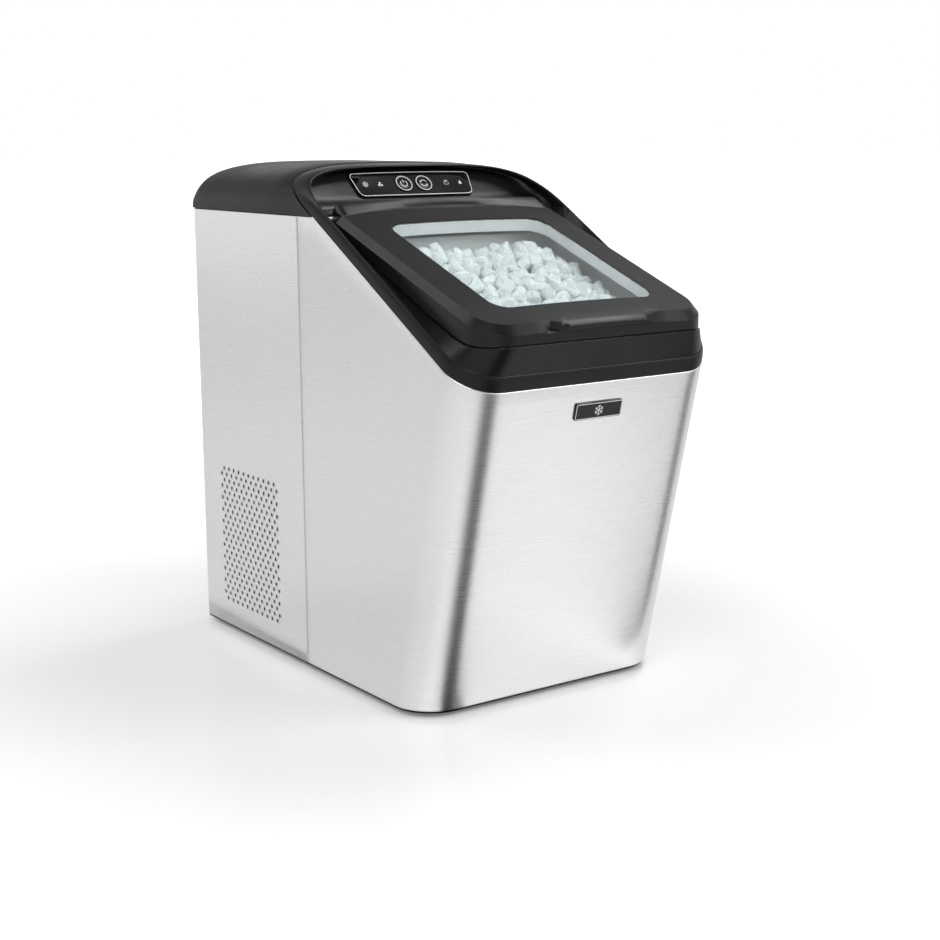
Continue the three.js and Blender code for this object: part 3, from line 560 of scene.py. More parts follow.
def painted_reflection_fan(tree, point, corner, start, end, soft=5.0):
    """1 inside a fan of floor that opens from a corner between two directions in degrees; the floor uses it
    to paint dark reflections for the steel.
    """
    x = math_node(tree, "SUBTRACT", point["X"], corner[0])
    y = math_node(tree, "SUBTRACT", point["Y"], corner[1])
    angle = math_node(tree, "ARCTAN2", y, x)
    edges = [math.radians(a) for a in (start - soft, start + soft, end - soft, end + soft)]
    falling = ramp(tree, angle, edges[2], edges[3], 1.0, 0.0)
    return math_node(tree, "MULTIPLY", ramp(tree, angle, edges[0], edges[1]), falling)


def floor_finish():
    """White floor with a soft sheen. Two fans of it are painted dark to glossy rays alone, painted dark
    reflections that the steel shows as streaks; the rest of it glows a little to glossy rays, a painted
    brighter reflection in the steel; and far from the machine it glows to the eye, so that it runs into the
    white surround."""
    f = Finish("floor", (0.95, 0.95, 0.95), 0.18, Emission_Color=(1, 1, 1, 1))
    path = add(f.tree, "LightPath")
    point = add(f.tree, "SeparateXYZ", {0: f.coordinates})
    # painted reflection: these fans of floor turn nearly black to glossy rays only
    left = painted_reflection_fan(f.tree, point, (-0.086, -0.10), -104, -70)
    right = painted_reflection_fan(f.tree, point, (0.085, -0.158), -38, -10)
    dark = math_node(f.tree, "ADD", left, right, clamp=True)
    dark = math_node(f.tree, "MULTIPLY", dark, path["Is Glossy Ray"])
    f.tone(dark, (0.95, 0.95, 0.95), (0.03, 0.03, 0.03))
    distance = add(f.tree, "VectorMath", {0: f.coordinates}, operation="LENGTH")["Value"]
    glow = ramp(f.tree, distance, 0.25, 1.3, 0.14, 0.85)
    to_eye = math_node(f.tree, "MULTIPLY", glow, path["Is Camera Ray"])
    # painted reflection: the rest of the floor glows faintly to glossy rays only
    bright = math_node(f.tree, "SUBTRACT", path["Is Glossy Ray"], dark, clamp=True)
    painted_bright_reflection = math_node(f.tree, "MULTIPLY", bright, 0.12)
    f.set("Emission Strength", math_node(f.tree, "ADD", to_eye, painted_bright_reflection))
    return f.material


def make_studio():
    """A pale floor, a white surround, and broad soft lights above and at the sides."""
    make_world()
    area_light("front_right", (0.569, -0.664, 0.484), 2.2, (1.2, 1.0), 16)
    area_light("right_high", (0.569, 0.093, 0.815), 2.0, (0.8, 0.8), 10)
    area_light("left_high", (-0.44, 0.45, 0.75), 2.0, (1.1, 1.1), 8)
    area_light("key", (-0.75, -0.75, 0.9), 2.4, (1.4, 1.4), 18)
    side = 30.0
    mesh = bpy.data.meshes.new("floor")
    corners = [(-side, -side, 0), (side, -side, 0), (side, side, 0), (-side, side, 0)]
    mesh.from_pydata(corners, [], [[0, 1, 2, 3]])
    mesh.materials.append(floor_finish())
    obj = new_object("floor", mesh)


# ---- Curves that the pieces share ----------------------------------------------------------
def edge_height(y):
    """Height of the plane of the slanted edge: a straight fall from its kink to the front."""
    return STEEL_TOP + SLOPE * (y - KINK_Y)


def lid_top(y):
    """Height of the lid's inclined top: a straight rise towards the rear."""
    return LID_LEVEL + LID_RISE * y


def parting(y):
    """Where the lid meets the bezel: inclined, and levelling out towards the front."""
    return 283.3 + 0.43 * y + 0.0062 * np.maximum(0, -20 - y) ** 2


def power(value, exponent):
    """A power that keeps its sign."""
    return np.sign(value) * np.abs(value) ** exponent


def dome_section(theta, half, high, exponent=ROUND):
    """Section of the rounded top: a superellipse, x across and the rise above the steel."""
    across = half * power(np.cos(theta), 2 / exponent)
    return across, high * np.abs(np.sin(theta)) ** (2 / exponent)


def half_turn(theta):
    """Angles from 0 to 90 degrees continued to 180, as radians."""
    theta = np.radians(theta)
    return np.concatenate([theta, np.pi - theta[-2::-1]])


# ---- Steel wraps ---------------------------------------------------------------------------
def plan_point(side, t, z, inset):
    """The casing's plan at height z: side 'left', 'corner' or 'front', t from 0 to 1 along it.
    The left side runs forward from the seam, the corner is a quarter circle, and the front
    runs to the middle. The front leans forward by LEAN per unit of height."""
    radius = CORNER_R - inset
    centre_x = -(HALF - CORNER_R)
    centre_y = CORNER_R - LEAN * z
    if side == "left":
        return -(HALF - inset) + 0 * z, SEAM_Y + (centre_y - SEAM_Y) * t
    if side == "corner":
        angle = t * math.pi / 2
        return centre_x - radius * math.cos(angle) + 0 * z, centre_y - radius * math.sin(angle)
    return centre_x * (1 - t) + 0 * z, centre_y - radius


def steel_height(side, t):
    """Height of the steel's edge in a column: the plan's y is linear in z, so the slanted
    plane and the column meet at one height, and none is above STEEL_TOP."""
    _, y0 = plan_point(side, t, 0.0, 0.0)
    _, y1 = plan_point(side, t, 1.0, 0.0)
    return min(edge_height(y0) / (1 - SLOPE * (y1 - y0)), STEEL_TOP)


def front_wrap():
    """The front steel wrap: columns along its plan, rows from bottom to its slanted edge.
    Along the edges the sheet rolls inward by a quarter round and ends in a short flange."""
    t_kink = (SEAM_Y - KINK_Y) / (SEAM_Y - CORNER_R + LEAN * STEEL_TOP)
    along = [0.0, t_kink - 0.004, t_kink, t_kink + 0.004, 0.25, 0.4, 0.55, 0.7, 0.85]
    stations = [("left", t) for t in along]
    stations += [("corner", t) for t in np.linspace(0, 1, 15)]
    stations += [("front", t) for t in np.linspace(0.08, 1, 8)]
    columns = []
    for side, t in stations:
        top = steel_height(side, t) - ROLL
        rows = np.concatenate([[0.0, 0.6], np.linspace(2.0, top, 24)])
        column = [np.column_stack([*plan_point(side, t, rows, 0.0), rows])]
        for run, rise in [*zip(ROLL_IN[1:], ROLL_UP[1:]), (FLANGE, ROLL)]:
            z = np.array([top + rise])
            column.append(np.column_stack([*plan_point(side, t, z, run), z]))
        columns.append(np.concatenate(column))
    columns[0][:, 1] = SEAM_Y - 0.15 - ROLL
    seam = [(FLANGE, ROLL, 0), *((run, rise, 0) for run, rise in zip(ROLL_IN[:0:-1], ROLL_UP[:0:-1]))]
    left = np.stack([columns[0] + np.array(step) for step in seam] + columns)
    grid = np.concatenate([left, left[-2::-1] * MIRROR])
    shape = facing(grid_mesh(grid), (0, 130, 150))
    piece = make_piece("front_wrap", shape, STEEL, replaces=["front_shell"], crisp=50)
    thicken(piece, STEEL_WALL)


def vent_field():
    """The vent in the y-z plane: staggered rows of cells, each cell a rectangle whose six
    outer points are joined to a round hole of twelve. Rows begin with a half cell in turn."""
    half, pitch = VENT["cell"] / 2, VENT["pitch"]
    across = 2 * VENT["columns"] + 1
    y = VENT["y"] + half * np.arange(across)
    z = VENT["z"] + pitch * np.arange(VENT["rows"] + 1)
    yy, zz = np.meshgrid(y, z)
    points = [np.stack([yy, zz], axis=-1).reshape(-1, 2)]
    faces = []
    angle = np.radians(30 + 30 * np.arange(12))
    hole = VENT["hole"] * np.column_stack([np.cos(angle), np.sin(angle)])
    count = across * (VENT["rows"] + 1)
    for row in range(VENT["rows"]):
        low, high = row * across, (row + 1) * across
        first = 1 - row % 2
        if first:
            for i in (0, across - 2):
                faces.append([low + i, low + i + 1, high + i + 1, high + i])
        for i in range(first, across - 2, 2):
            points.append(np.array([y[i + 1], z[row] + pitch / 2]) + hole)
            ring = [high + i + 2, high + i + 1, high + i, low + i, low + i + 1, low + i + 2]
            for k in range(6):
                near = [count + (2 * k + step) % 12 for step in (2, 1, 0)]
                faces.append([ring[k], ring[(k + 1) % 6], *near])
            count += 12
    return np.concatenate(points), faces


def perforated_side():
    """The left steel side behind the seam: the vent field, and flat sheet round it whose faces
    take every point of the field's edge."""
    points, faces = vent_field()
    across, rows = 2 * VENT["columns"] + 1, VENT["rows"] + 1
    y0, y1, z0, z1 = REAR_SEAM_Y, REAR - REAR_CORNER_R, 0.0, STEEL_TOP - ROLL
    low, high = VENT["z"], VENT_TOP
    frame_points = [[y0, z0], [y1, z0], [y1, low], [y1, high], [y1, z1], [y0, z1], [y0, high], [y0, low]]
    a, b, c, d, e, f, g, h = range(len(points), len(points) + 8)
    points = np.concatenate([points, frame_points])
    bottom, top = range(across), range(across * (rows - 1), across * rows)
    left, right = range(0, across * rows, across), range(across - 1, across * rows, across)
    faces += [[a, b, c, *bottom[::-1], h], [g, *top, d, e, f], [h, *left, g], [c, d, *right[::-1]]]
    return np.column_stack([np.full(len(points), -HALF), points]), faces


def rear_wrap():
    """The rear steel wrap: perforated sides, a quarter round at each rear corner, and the back.
    Its top and its front edges roll inward."""
    rolled = STEEL_TOP - ROLL
    angle = np.radians(np.linspace(0, 90, 7))
    plan = [
        [-HALF + REAR_CORNER_R * (1 - math.cos(a)), REAR - REAR_CORNER_R * (1 - math.sin(a))]
        for a in angle
    ]
    plan = np.array(plan + [[x, REAR] for x in (-90, -60, -30, 0)])
    strip = [lifted(plan, z) for z in (0.0, VENT["z"], VENT_TOP, rolled)]
    edge = np.concatenate([[[-HALF, REAR_SEAM_Y]], plan])
    tangent = np.gradient(edge, axis=0)
    inward = np.column_stack([tangent[:, 1], -tangent[:, 0]])
    inward /= np.linalg.norm(inward, axis=1, keepdims=True)
    inward[:2], inward[-4:] = [1, 0], [0, -1]
    runs = [*zip(ROLL_IN, ROLL_UP), (FLANGE, ROLL)]
    top = [lifted(edge + inward * run, rolled + rise) for run, rise in runs]
    heights = np.array([0.0, VENT["z"], VENT_TOP, rolled, *(rolled + ROLL_UP[1:])])
    back = np.interp(heights, [rolled, STEEL_TOP], [0.0, 1.0])
    clear = ROLL * (1 - np.sqrt(np.maximum(0, 1 - back ** 2)))
    seam = []
    for run, rise in runs:
        y = np.full(len(heights), REAR_SEAM_Y - rise)
        seam.append(np.column_stack([-HALF + np.maximum(run, clear), y, heights]))
    half = merged(perforated_side(), grid_mesh(strip), grid_mesh(top), grid_mesh(seam))
    shape = facing(welded(*with_mirror(half)), (0, 240, 150))
    piece = make_piece("rear_wrap", shape, STEEL, replaces=["rear_shell"], crisp=50)
    thicken(piece, STEEL_WALL)


def seam_beads():
    """A thin rolled bead that closes the joint of the two steel sheets on each side."""
    heights = np.linspace(0.6, STEEL_TOP - 0.6, 5)
    bump = [(-0.3, -0.8), (0.35, -0.7), (0.65, 0.0), (0.35, 0.7), (-0.3, 0.8)]
    bead = closed_skin([[(HALF + out, SEAM_Y + along, z) for out, along in bump] for z in heights])
    make_piece("seam_beads", with_mirror(bead), BRIGHT, crisp=40)


def dust_filters():
    """A thin dark sheet close behind each field of vent holes."""
    corners = ((190, 14), (296, 14), (296, 142), (190, 142))
    sheets = [
        closed_skin([[(side * (HALF - depth), y, z) for y, z in corners] for depth in (1.8, 2.4)])
        for side in (-1, 1)
    ]
    make_piece("dust_filters", merged(*sheets), NYLON_BLACK)


def rear_block(dx, dz, width, height, low, high):
    """A block by the power inlet, from one distance behind the rear wall to another."""
    x, z = INLET_X + dx, INLET_Z + dz
    corners = [(-0.5, -0.5), (0.5, -0.5), (0.5, 0.5), (-0.5, 0.5)]
    rings = [[(x + width * i, REAR + out, z + height * j) for i, j in corners] for out in (low, high)]
    return closed_skin(rings)


def inlet_core():
    """The dark floor of the power inlet and its three blades."""
    make_piece("inlet_floor", rear_block(0, 0, 26.4, 18.4, 0.1, 0.8), NYLON_BLACK)
    blades = [rear_block(dx, dz, 4, 2, 0.7, 1.8) for dx, dz in ((-7, -4), (7, -4), (0, 2))]
    make_piece("inlet_blades", merged(*blades), BRIGHT)


# ---- Top cover -----------------------------------------------------------------------------
def top_cover():
    """The rounded top. Across it is a superellipse, multiplied behind the turn by a quarter
    round towards the rear; its front edge lies on the slanted plane."""
    half, high = HALF + 0.8, CROWN + 0.8
    rear = REAR + 1.0
    turn = rear - REAR_ROUND
    theta = half_turn(np.concatenate([[0], np.linspace(0.6, 12, 8), np.linspace(16, 90, 20)]))
    x, rise = dome_section(theta, half, high)
    front = KINK_Y + (0.7 + rise) / SLOPE
    rows = []
    for inset, ahead in ((2.6, 0.0), (0.3, 0.0), (0.0, 0.3)):
        across, low_rise = dome_section(theta, half - inset, high - inset)
        y = KINK_Y + (0.7 + low_rise) / SLOPE + ahead
        rows.append(np.column_stack([across, y, BLACK_Z + low_rise]))
    for t in (0.2, 0.4, 0.6, 0.8, 1.0):
        y = front + 0.3 + (turn - front - 0.3) * t
        rows.append(np.column_stack([x, y, BLACK_Z + rise]))
    for b in np.radians(np.concatenate([np.linspace(6, 78, 13), np.linspace(81, 90, 5)])):
        along, fall = math.sin(b) ** 0.9, max(0.0, math.cos(b)) ** 0.9
        into = max(0.0, turn + REAR_ROUND * along - rear + REAR_CORNER_R)
        narrow = REAR_CORNER_R - math.sqrt(max(0.0, REAR_CORNER_R ** 2 - into ** 2))
        y = np.full(len(theta), turn + REAR_ROUND * along)
        rows.append(np.column_stack([x * (half - narrow) / half, y, BLACK_Z + rise * fall]))
    grid = np.stack(rows)
    skirt = ((2.0, STEEL_TOP - 2.5), (2.0, STEEL_TOP + 0.25), (0.3, STEEL_TOP + 0.3))
    hems = {1: [], -1: []}
    for inset, z in skirt:
        for side, hem in hems.items():
            ring = grid[:, :1].copy() if side > 0 else grid[:, -1:].copy()
            ring[:, 0, 0] -= side * inset
            ring[:, 0, 1] = np.minimum(ring[:, 0, 1], rear - inset)
            ring[:, 0, 2] = z
            hem.append(ring)
    grid = np.concatenate([*hems[1], grid, *hems[-1][::-1]], axis=1)
    tail = []
    for inset, z in skirt[::-1]:
        ring = grid[-1].copy()
        ring[:, 1] = rear - inset
        ring[:, 2] = np.minimum(ring[:, 2], z)
        tail.append(ring)
    shape = facing(welded(*grid_mesh(np.concatenate([grid, tail]))), (0, 240, 330))
    piece = make_piece("cover_shell", shape, BLACK, replaces=["top_cover"], crisp=40)
    thicken(piece, 2.0)


# ---- Bezel ---------------------------------------------------------------------------------
# The band's outer face: inset from the casing's outline, and height above the slanted plane.
BAND_FACE = [
    (1.4, 0.3), (0.25, 0.3), (0.0, 0.6), (0.15, 3.5), (0.7, 7.0), (1.5, 9.6), (2.3, 11.0),
    (2.7, BAND), (3.2, 11.0),
]
BAND_RIM = [(3.9, 10.2), (4.0, 9.0), (4.4, 6.0), (4.4, 3.0)]
BAND_FOOT = (3.5, -4.7)
RIM_POINT = len(BAND_FACE) + 1  # the point of the section where the recess begins
LEDGE = ((-1.0, 0.9), (-0.4, 1.0), (SHELF, 1.0), (SHELF, 4.0))


def band_section_low(x_side, y, angle):
    """Section of the bezel along the sides (y given) and round the front corners (by angle),
    with a ledge below the parting that follows the lid's outline."""
    section = []
    for inset, rise in [*BAND_FACE, BAND_FOOT]:
        if y is None:
            inset *= 1 - 0.4 * math.sin(angle)
        radius = CORNER_R - inset
        x = x_side * (HALF - CORNER_R + radius * math.cos(angle))
        if y is None:
            back = CORNER_R - radius * math.sin(angle)
            z = (edge_height(back) + rise) / (1 + SLOPE * LEAN)
            section.append([x, back - LEAN * z, z])
        else:
            section.append([x, y, edge_height(y) + rise])
    ledge = []
    for inset, drop in LEDGE:
        radius = LID_CORNER_R - inset
        x = x_side * (LID_HALF - LID_CORNER_R + radius * math.cos(angle))
        at = LID_FRONT + LID_CORNER_R - radius * math.sin(angle) if y is None else y
        ledge.append([x, at, parting(at) - drop])
    return section[:-1] + ledge + section[-1:]


def band_section_high(theta):
    """Section of the bezel over the rounded top, at one angle of its superellipse. Towards the
    rim the section is boxier and set in further the further it is from the sides."""
    up = math.sin(theta)
    section = []
    for inset, rise in [*BAND_FACE, *BAND_RIM, BAND_FOOT]:
        share = min(1.0, max(0.0, rise / BAND))
        more = inset + 2.6 * share * min(1.0, up * 3) * (1 - 0.8 * up ** 6)
        exponent = ROUND + (RIM_ROUND - ROUND) * share
        x, z = dome_section(theta, HALF - more, CROWN - inset * (1 - 0.3 * up), exponent)
        z += BLACK_Z
        section.append([float(x), KINK_Y + (z - STEEL_TOP - rise) / SLOPE, z])
    return section


def bezel():
    """The black band as one closed loop of sections: along the right side, over the top, down
    the left side and round the front; and the two cheeks beside the lid's hinges."""
    straights = [-25, -5, 20, 45, 70, 90, 104, 111]
    angles = np.linspace(0, math.pi / 2, 11)
    over = half_turn(np.concatenate([[0, 0.4, 1.2, 2.5, 4.5, 7, 10], np.linspace(14, 90, 20)]))
    rings = [band_section_low(1, y, 0.0) for y in straights]
    rings += [band_section_high(theta) for theta in over]
    rings += [band_section_low(-1, y, 0.0) for y in reversed(straights)]
    rings += [band_section_low(-1, None, a) for a in angles]
    left, right = (np.array(band_section_low(side, None, math.pi / 2)) for side in (-1, 1))
    for x in np.linspace(-1, 1, 9)[1:-1]:
        rings.append(left * (1 - x) / 2 + right * (1 + x) / 2)
    rings += [band_section_low(1, None, a) for a in angles[::-1]]
    cheeks = []
    for side in (-1, 1):
        outline = [(side * x, drop) for x, drop in ((95.5, 0.9), (109.6, 0.9), (109.6, 3.9), (95.5, 3.9))]
        cheek = [[(x, y, parting(y) - drop) for x, drop in outline] for y in (103, 120, 136, 151)]
        cheeks.append(closed_skin(cheek))
    shape = merged(closed_skin(rings, loop=True), *cheeks)
    make_piece("bezel_band", shape, BLACK, replaces=["front_bezel"], crisp=28)


# ---- Fascia --------------------------------------------------------------------------------
# The inclined face behind the lid in the y-z plane, from bottom to top.
FASCIA_FACE = np.array([
    (152.5, 330.0), (152.5, 346.0), (153.2, 349.5), (155, 351.5), (160, 354), (165, 356.6),
    (186, 381.2), (188, 383.6),
])


def fascia():
    """The recess behind the rim. At each height it is a level curve: from the rim it turns back
    to the inclined face and runs level across, a superellipse of exponent 5. Below it lies the
    floor of the hinge trough."""
    low = np.linspace(331, STEEL_TOP + 0.3, 9)
    theta = np.radians(np.concatenate([[0.05, 0.2, 0.6, 1.2, 2, 3.5, 5.5, 8, 11], np.linspace(15, 89.5, 24)]))
    edge = np.array([band_section_high(t)[RIM_POINT] for t in theta])
    height = np.concatenate([low, edge[:, 2]])
    half = np.concatenate([np.full(len(low), edge[0, 0]), edge[:, 0]])
    rim = np.concatenate([KINK_Y + (low - STEEL_TOP - 9.0) / SLOPE, edge[:, 1]])
    face = np.interp(height, FASCIA_FACE[:, 1], FASCIA_FACE[:, 0])
    ends = np.array([76, 82, 86, 88.5, 89.6, 90])
    phi = np.radians(np.concatenate([-ends[::-1], np.linspace(-68, 68, 25), ends]))
    x = half[:, None] * power(np.sin(phi), 0.4)
    y = rim[:, None] + (face - rim)[:, None] * np.abs(np.cos(phi)) ** 0.4
    grid = np.stack([x, y, np.broadcast_to(height[:, None], x.shape)], axis=-1)
    shape = facing(welded(*grid_mesh(grid)), (0, 400, 300))
    piece = make_piece("fascia_recess", shape, BLACK, replaces=["control_fascia"])
    thicken(piece, 1.2)
    outline = ((-95, 335.5), (95, 335.5), (95, 333.5), (-95, 333.5))
    floor = closed_skin([[(x, y, z) for x, z in outline] for y in (121.0, 137.0, 153.0)])
    make_piece("hinge_trough", floor, BLACK)


# ---- Lid -----------------------------------------------------------------------------------
def crown(x):
    """Rise of the lid's crown: a parabola across, highest in the middle."""
    return LID_CROWN * (1 - (x / LID_HALF) ** 2)


def on_lid(outline, drop=0.0, share=1.0):
    """Points of a plane outline at a drop below the lid's inclined top, with its crown."""
    return lifted(outline, lid_top(outline[:, 1]) + share * crown(outline[:, 0]) - drop)


TAB = (-34.3, 36.0)  # the finger tab and, left of it, the scoop
SCOOP = (-46.1, -34.3)
FRONT_X = [-70, -60, -52, -46.3, -46, -40, -34.6, -34, -30, -15, 0, 15, 30, 35.8, 36.3, 45, 60, 70]
FRONT_STATIONS = (np.array(FRONT_X) + 77) / 154
LID_STATIONS = [between(12), between(10), FRONT_STATIONS, between(10)]


def lid_ring(inset):
    """The lid's outline moved in by an inset: a rectangle with rounded corners."""
    radii = (LID_CORNER_R - inset, max(2.0, 9 - inset))
    return rounded_outline(LID_HALF - inset, LID_FRONT + inset, LID_REAR - inset, radii, 10, LID_STATIONS)


def opening_ring(grow):
    """The window opening's outline moved out: a rectangle with rounded corners."""
    radii = (WINDOW_R + grow, WINDOW_R + grow)
    front, rear = WINDOW_FRONT - grow, WINDOW_REAR + grow
    return rounded_outline(WINDOW_HALF + grow, front, rear, radii, 10, LID_STATIONS)


def lid_rings():
    """The lid's section carried round its outline: up the window opening, over the crowned top,
    down the bevel and the wall, and back underneath."""
    edge, outer, inner = lid_ring(LID_BEVEL), lid_ring(0.0), lid_ring(3.0)
    seam = parting(outer[:, 1])
    rings = [on_lid(opening_ring(grow), drop) for grow, drop in ((0.0, 2.9), (0.0, 0.45), (0.45, 0.0))]
    rings += [on_lid(opening_ring(0.0) * (1 - t) + edge * t) for t in (0.33, 0.67, 1.0)]
    low = on_lid(outer, LID_BEVEL, 0.75)
    rings += [lifted((edge + outer) / 2, (rings[-1][:, 2] + low[:, 2]) / 2), low]
    rings += [on_lid(outer, LID_BEVEL + drop, 0.75) for drop in (0.8, 1.7)]
    for inset, rise in ((0.0, 0.6), (1.6, 0.6), (1.8, -0.9), (3.0, -0.9)):
        rings.append(lifted(lid_ring(inset), seam + rise))
    rings += [on_lid(inner, 7.5, 0.75), on_lid(lid_ring(7.0), 3.4), on_lid(opening_ring(3.0), 3.1)]
    return np.stack(rings)


def finger_tab(rings):
    """Moves the bevel's rings on the front side: forward for the tab, and in for the scoop,
    which is cut on the slant."""
    top, middle, low, lip, under = 5, 6, 7, 8, 9
    x, y = lid_ring(0.0).T
    front = y < LID_FRONT + 0.01
    tab = front & (x > TAB[0]) & (x < TAB[1])
    for ring, ahead, drop in (
        (top, -60.5, 0.0), (middle, -64.4, 0.5), (low, -66.2, 1.6), (lip, -66.0, 3.9), (under, -63.5, 5.2),
    ):
        rings[ring, tab, 1] = ahead
        rings[ring, tab, 2] = lid_top(ahead) + crown(x[tab]) - drop
    scoop = front & (x > SCOOP[0]) & (x < SCOOP[1])
    bevel = LID_FRONT + LID_BEVEL - 7.3 * (x[scoop] + 46) / 11.4
    for ring, drop in ((top, 0.0), (middle, 2.6), (low, 5.0)):
        rings[ring, scoop, 1] = bevel
        rings[ring, scoop, 2] = lid_top(bevel) + crown(x[scoop]) - drop
    rings[lip, scoop, 1] = LID_FRONT
    return rings


def kick_strip():
    """The raised rear edge of the lid: a section carried across, whose crease bows to the rear
    in the middle and whose height rounds off to nothing at both ends."""
    end_x = 96 - 6 * (1 - np.cos(np.radians(np.linspace(5, 90, 7))))
    x = np.concatenate([-end_x, np.linspace(-86, 86, 23), end_x[::-1]])
    end = np.sqrt(np.clip(1 - (np.clip(np.abs(x) - 90, 0, 6) / 6) ** 2, 0, 1))
    crease = 130 - 9 * (x / 96) ** 2
    plane = lid_top(crease) + crown(x)
    rise = (354.4 + 0.9 * crown(x) - plane) * end
    run = 134.6 - crease
    section = [
        (crease - 0.6, plane - 1.2), (crease, plane + 0.35 * end),
        (crease + 0.55 * run, plane + 0.62 * rise), (crease + 0.94 * run, plane + 0.97 * rise),
        (134.9, plane + rise), (136.2, plane + rise - 0.8), (136.2, 342.5), (128.0, 341.5),
    ]
    return closed_skin(np.stack([np.column_stack(np.broadcast_arrays(x, y, z)) for y, z in section], axis=1))


def lid():
    """The lid's section closed round its window, and the raised strip at its rear."""
    shape = merged(closed_skin(finger_tab(lid_rings()), loop=True), kick_strip())
    make_piece("lid_shell", shape, LID_BLACK, "lid", replaces=["lid_frame"], crisp=25)


def pane():
    """The clear pane: a plate with the crown of the lid that fills its opening."""
    ring, middle = opening_ring(-0.5), np.array([0.0, 33.5])
    inner = [ring * (1 - t) + middle * t for t in (0.25, 0.5, 0.75)]
    wall = [on_lid(opening_ring(grow), drop) for grow, drop in ((-0.2, 2.6), (-0.2, 0.9), (-0.5, 0.6))]
    rings = [on_lid(r, 2.6) for r in inner[::-1]] + wall + [on_lid(r, 0.6) for r in inner]
    make_piece("window_pane", closed_skin(rings), PANE, "lid", replaces=["lid_window"])


def window_rim():
    """The pale inner wall of the lid that hangs down all round the window."""
    section = ((2.8, 3.2), (0.3, 3.0), (0.6, 5.0), (1.6, 12.0), (2.8, 12.0))
    rings = [on_lid(opening_ring(grow), drop) for grow, drop in section]
    make_piece("window_rim", closed_skin(rings, loop=True), LINER, "lid")


# ---- Flat shapes for the panel and the plate -----------------------------------------------
def spoke(radius, angle):
    """The point at a radius and an angle from the centre."""
    return radius * np.array([math.cos(angle), math.sin(angle)])


def circle(radius, count=48, centre=(0.0, 0.0), start=0.0, end=360.0):
    """Points of a circle, or of its arc from start to end in degrees."""
    angle = np.radians(np.linspace(start, end, count, endpoint=end - start < 359.9))
    return np.asarray(centre) + radius * np.column_stack([np.cos(angle), np.sin(angle)])


def flat_band(outer, inner, low, high):
    """A closed strip between two outlines, from one height to another."""
    rings = ((outer, low), (outer, high), (inner, high), (inner, low))
    return closed_skin([lifted(ring, z) for ring, z in rings], loop=True)


def plate(outline, low, high, edge):
    """A flat plate with a small chamfer round its upper edge."""
    centre = outline.mean(axis=0)
    scale = 1 - edge / np.linalg.norm(outline - centre, axis=1, keepdims=True)
    inner = centre + (outline - centre) * scale
    return closed_skin([lifted(outline, low), lifted(outline, high - edge), lifted(inner, high)])


def holed_plate(outline, holes, low, high):
    """A flat plate with round holes, each given by its centre and radius. The faces come from a
    Delaunay triangulation of the outlines, less the triangles whose middle is in a hole."""
    loops = [outline] + [circle(radius, 40, centre) for centre, radius in holes]
    flat = np.concatenate(loops)
    count, start, edges, walls = len(flat), 0, [], []
    for loop in loops:
        ring = [(start + i, start + (i + 1) % len(loop)) for i in range(len(loop))]
        edges += ring
        walls += [[a, b, b + count, a + count][::-1 if start else 1] for a, b in ring]
        start += len(loop)
    found = delaunay_2d_cdt([Vector(p) for p in flat], edges, [], 0, 1e-6)
    solid = []
    for face in found[2]:
        triangle = [found[3][v][0] for v in face]
        middle = flat[triangle].mean(axis=0)
        if all(np.linalg.norm(middle - centre) > radius for centre, radius in holes):
            solid.append(triangle)
    faces = [t[::-1] for t in solid] + [[v + count for v in t] for t in solid] + walls
    return outward(np.concatenate([lifted(flat, low), lifted(flat, high)]), faces)


def stroke(path, width, low, high):
    """A flat line of a given width along an open path in the plane."""
    path = np.asarray(path, float)
    tangent = np.gradient(path, axis=0)
    tangent /= np.linalg.norm(tangent, axis=1, keepdims=True)
    side = np.column_stack([-tangent[:, 1], tangent[:, 0]]) * width / 2
    corners = ((path + side, low), (path - side, low), (path - side, high), (path + side, high))
    return closed_skin(np.stack([lifted(edge, z) for edge, z in corners], axis=1))


def blade(outline, low, high):
    """A flat solid of any outline in the plane."""
    return closed_skin([lifted(outline, low), lifted(outline, high)])


def line(a, b, width, low, high):
    """A flat straight line from one point to another."""
    return stroke(np.linspace(a, b, 3), width, low, high)


def snowflake(centre, size, low, high, width=0.45):
    """Six arms, each with a pair of short side branches."""
    parts = []
    for angle in np.radians(60 * np.arange(6) + 30):
        arm = spoke(size, angle)
        parts.append(line(centre + 0.08 * arm, centre + arm, width, low, high))
        root = centre + 0.58 * arm
        for spread in (-0.95, 0.95):
            parts.append(line(root, root + spoke(0.38 * size, angle + spread), width * 0.9, low, high))
    return merged(*parts)


def drop_sign(centre, size, low, high):
    """A drop: round below, drawn out to a point above."""
    angle = np.linspace(0, 2 * math.pi, 30, endpoint=False)
    x = 0.62 * size * np.sin(angle) * (1 - np.cos(angle)) / 1.3
    y = size * (0.15 + 0.85 * np.cos(angle))
    return blade(np.column_stack([centre[0] + x, centre[1] + y]), low, high)


def tray_sign(centre, size, low, high):
    """A basin seen from the side, with two level strokes of water above it."""
    basin = np.array([(-1, 0), (-0.7, -0.8), (0.7, -0.8), (1, 0)])
    wave = np.linspace(-0.7, 0.7, 13)
    parts = [stroke(centre + size * basin, 0.45, low, high)]
    for height in (0.45, 0.9):
        ripple = np.column_stack([wave, height + 0.12 * np.sin(wave * 7)])
        parts.append(stroke(centre + size * ripple, 0.4, low, high))
    return merged(*parts)


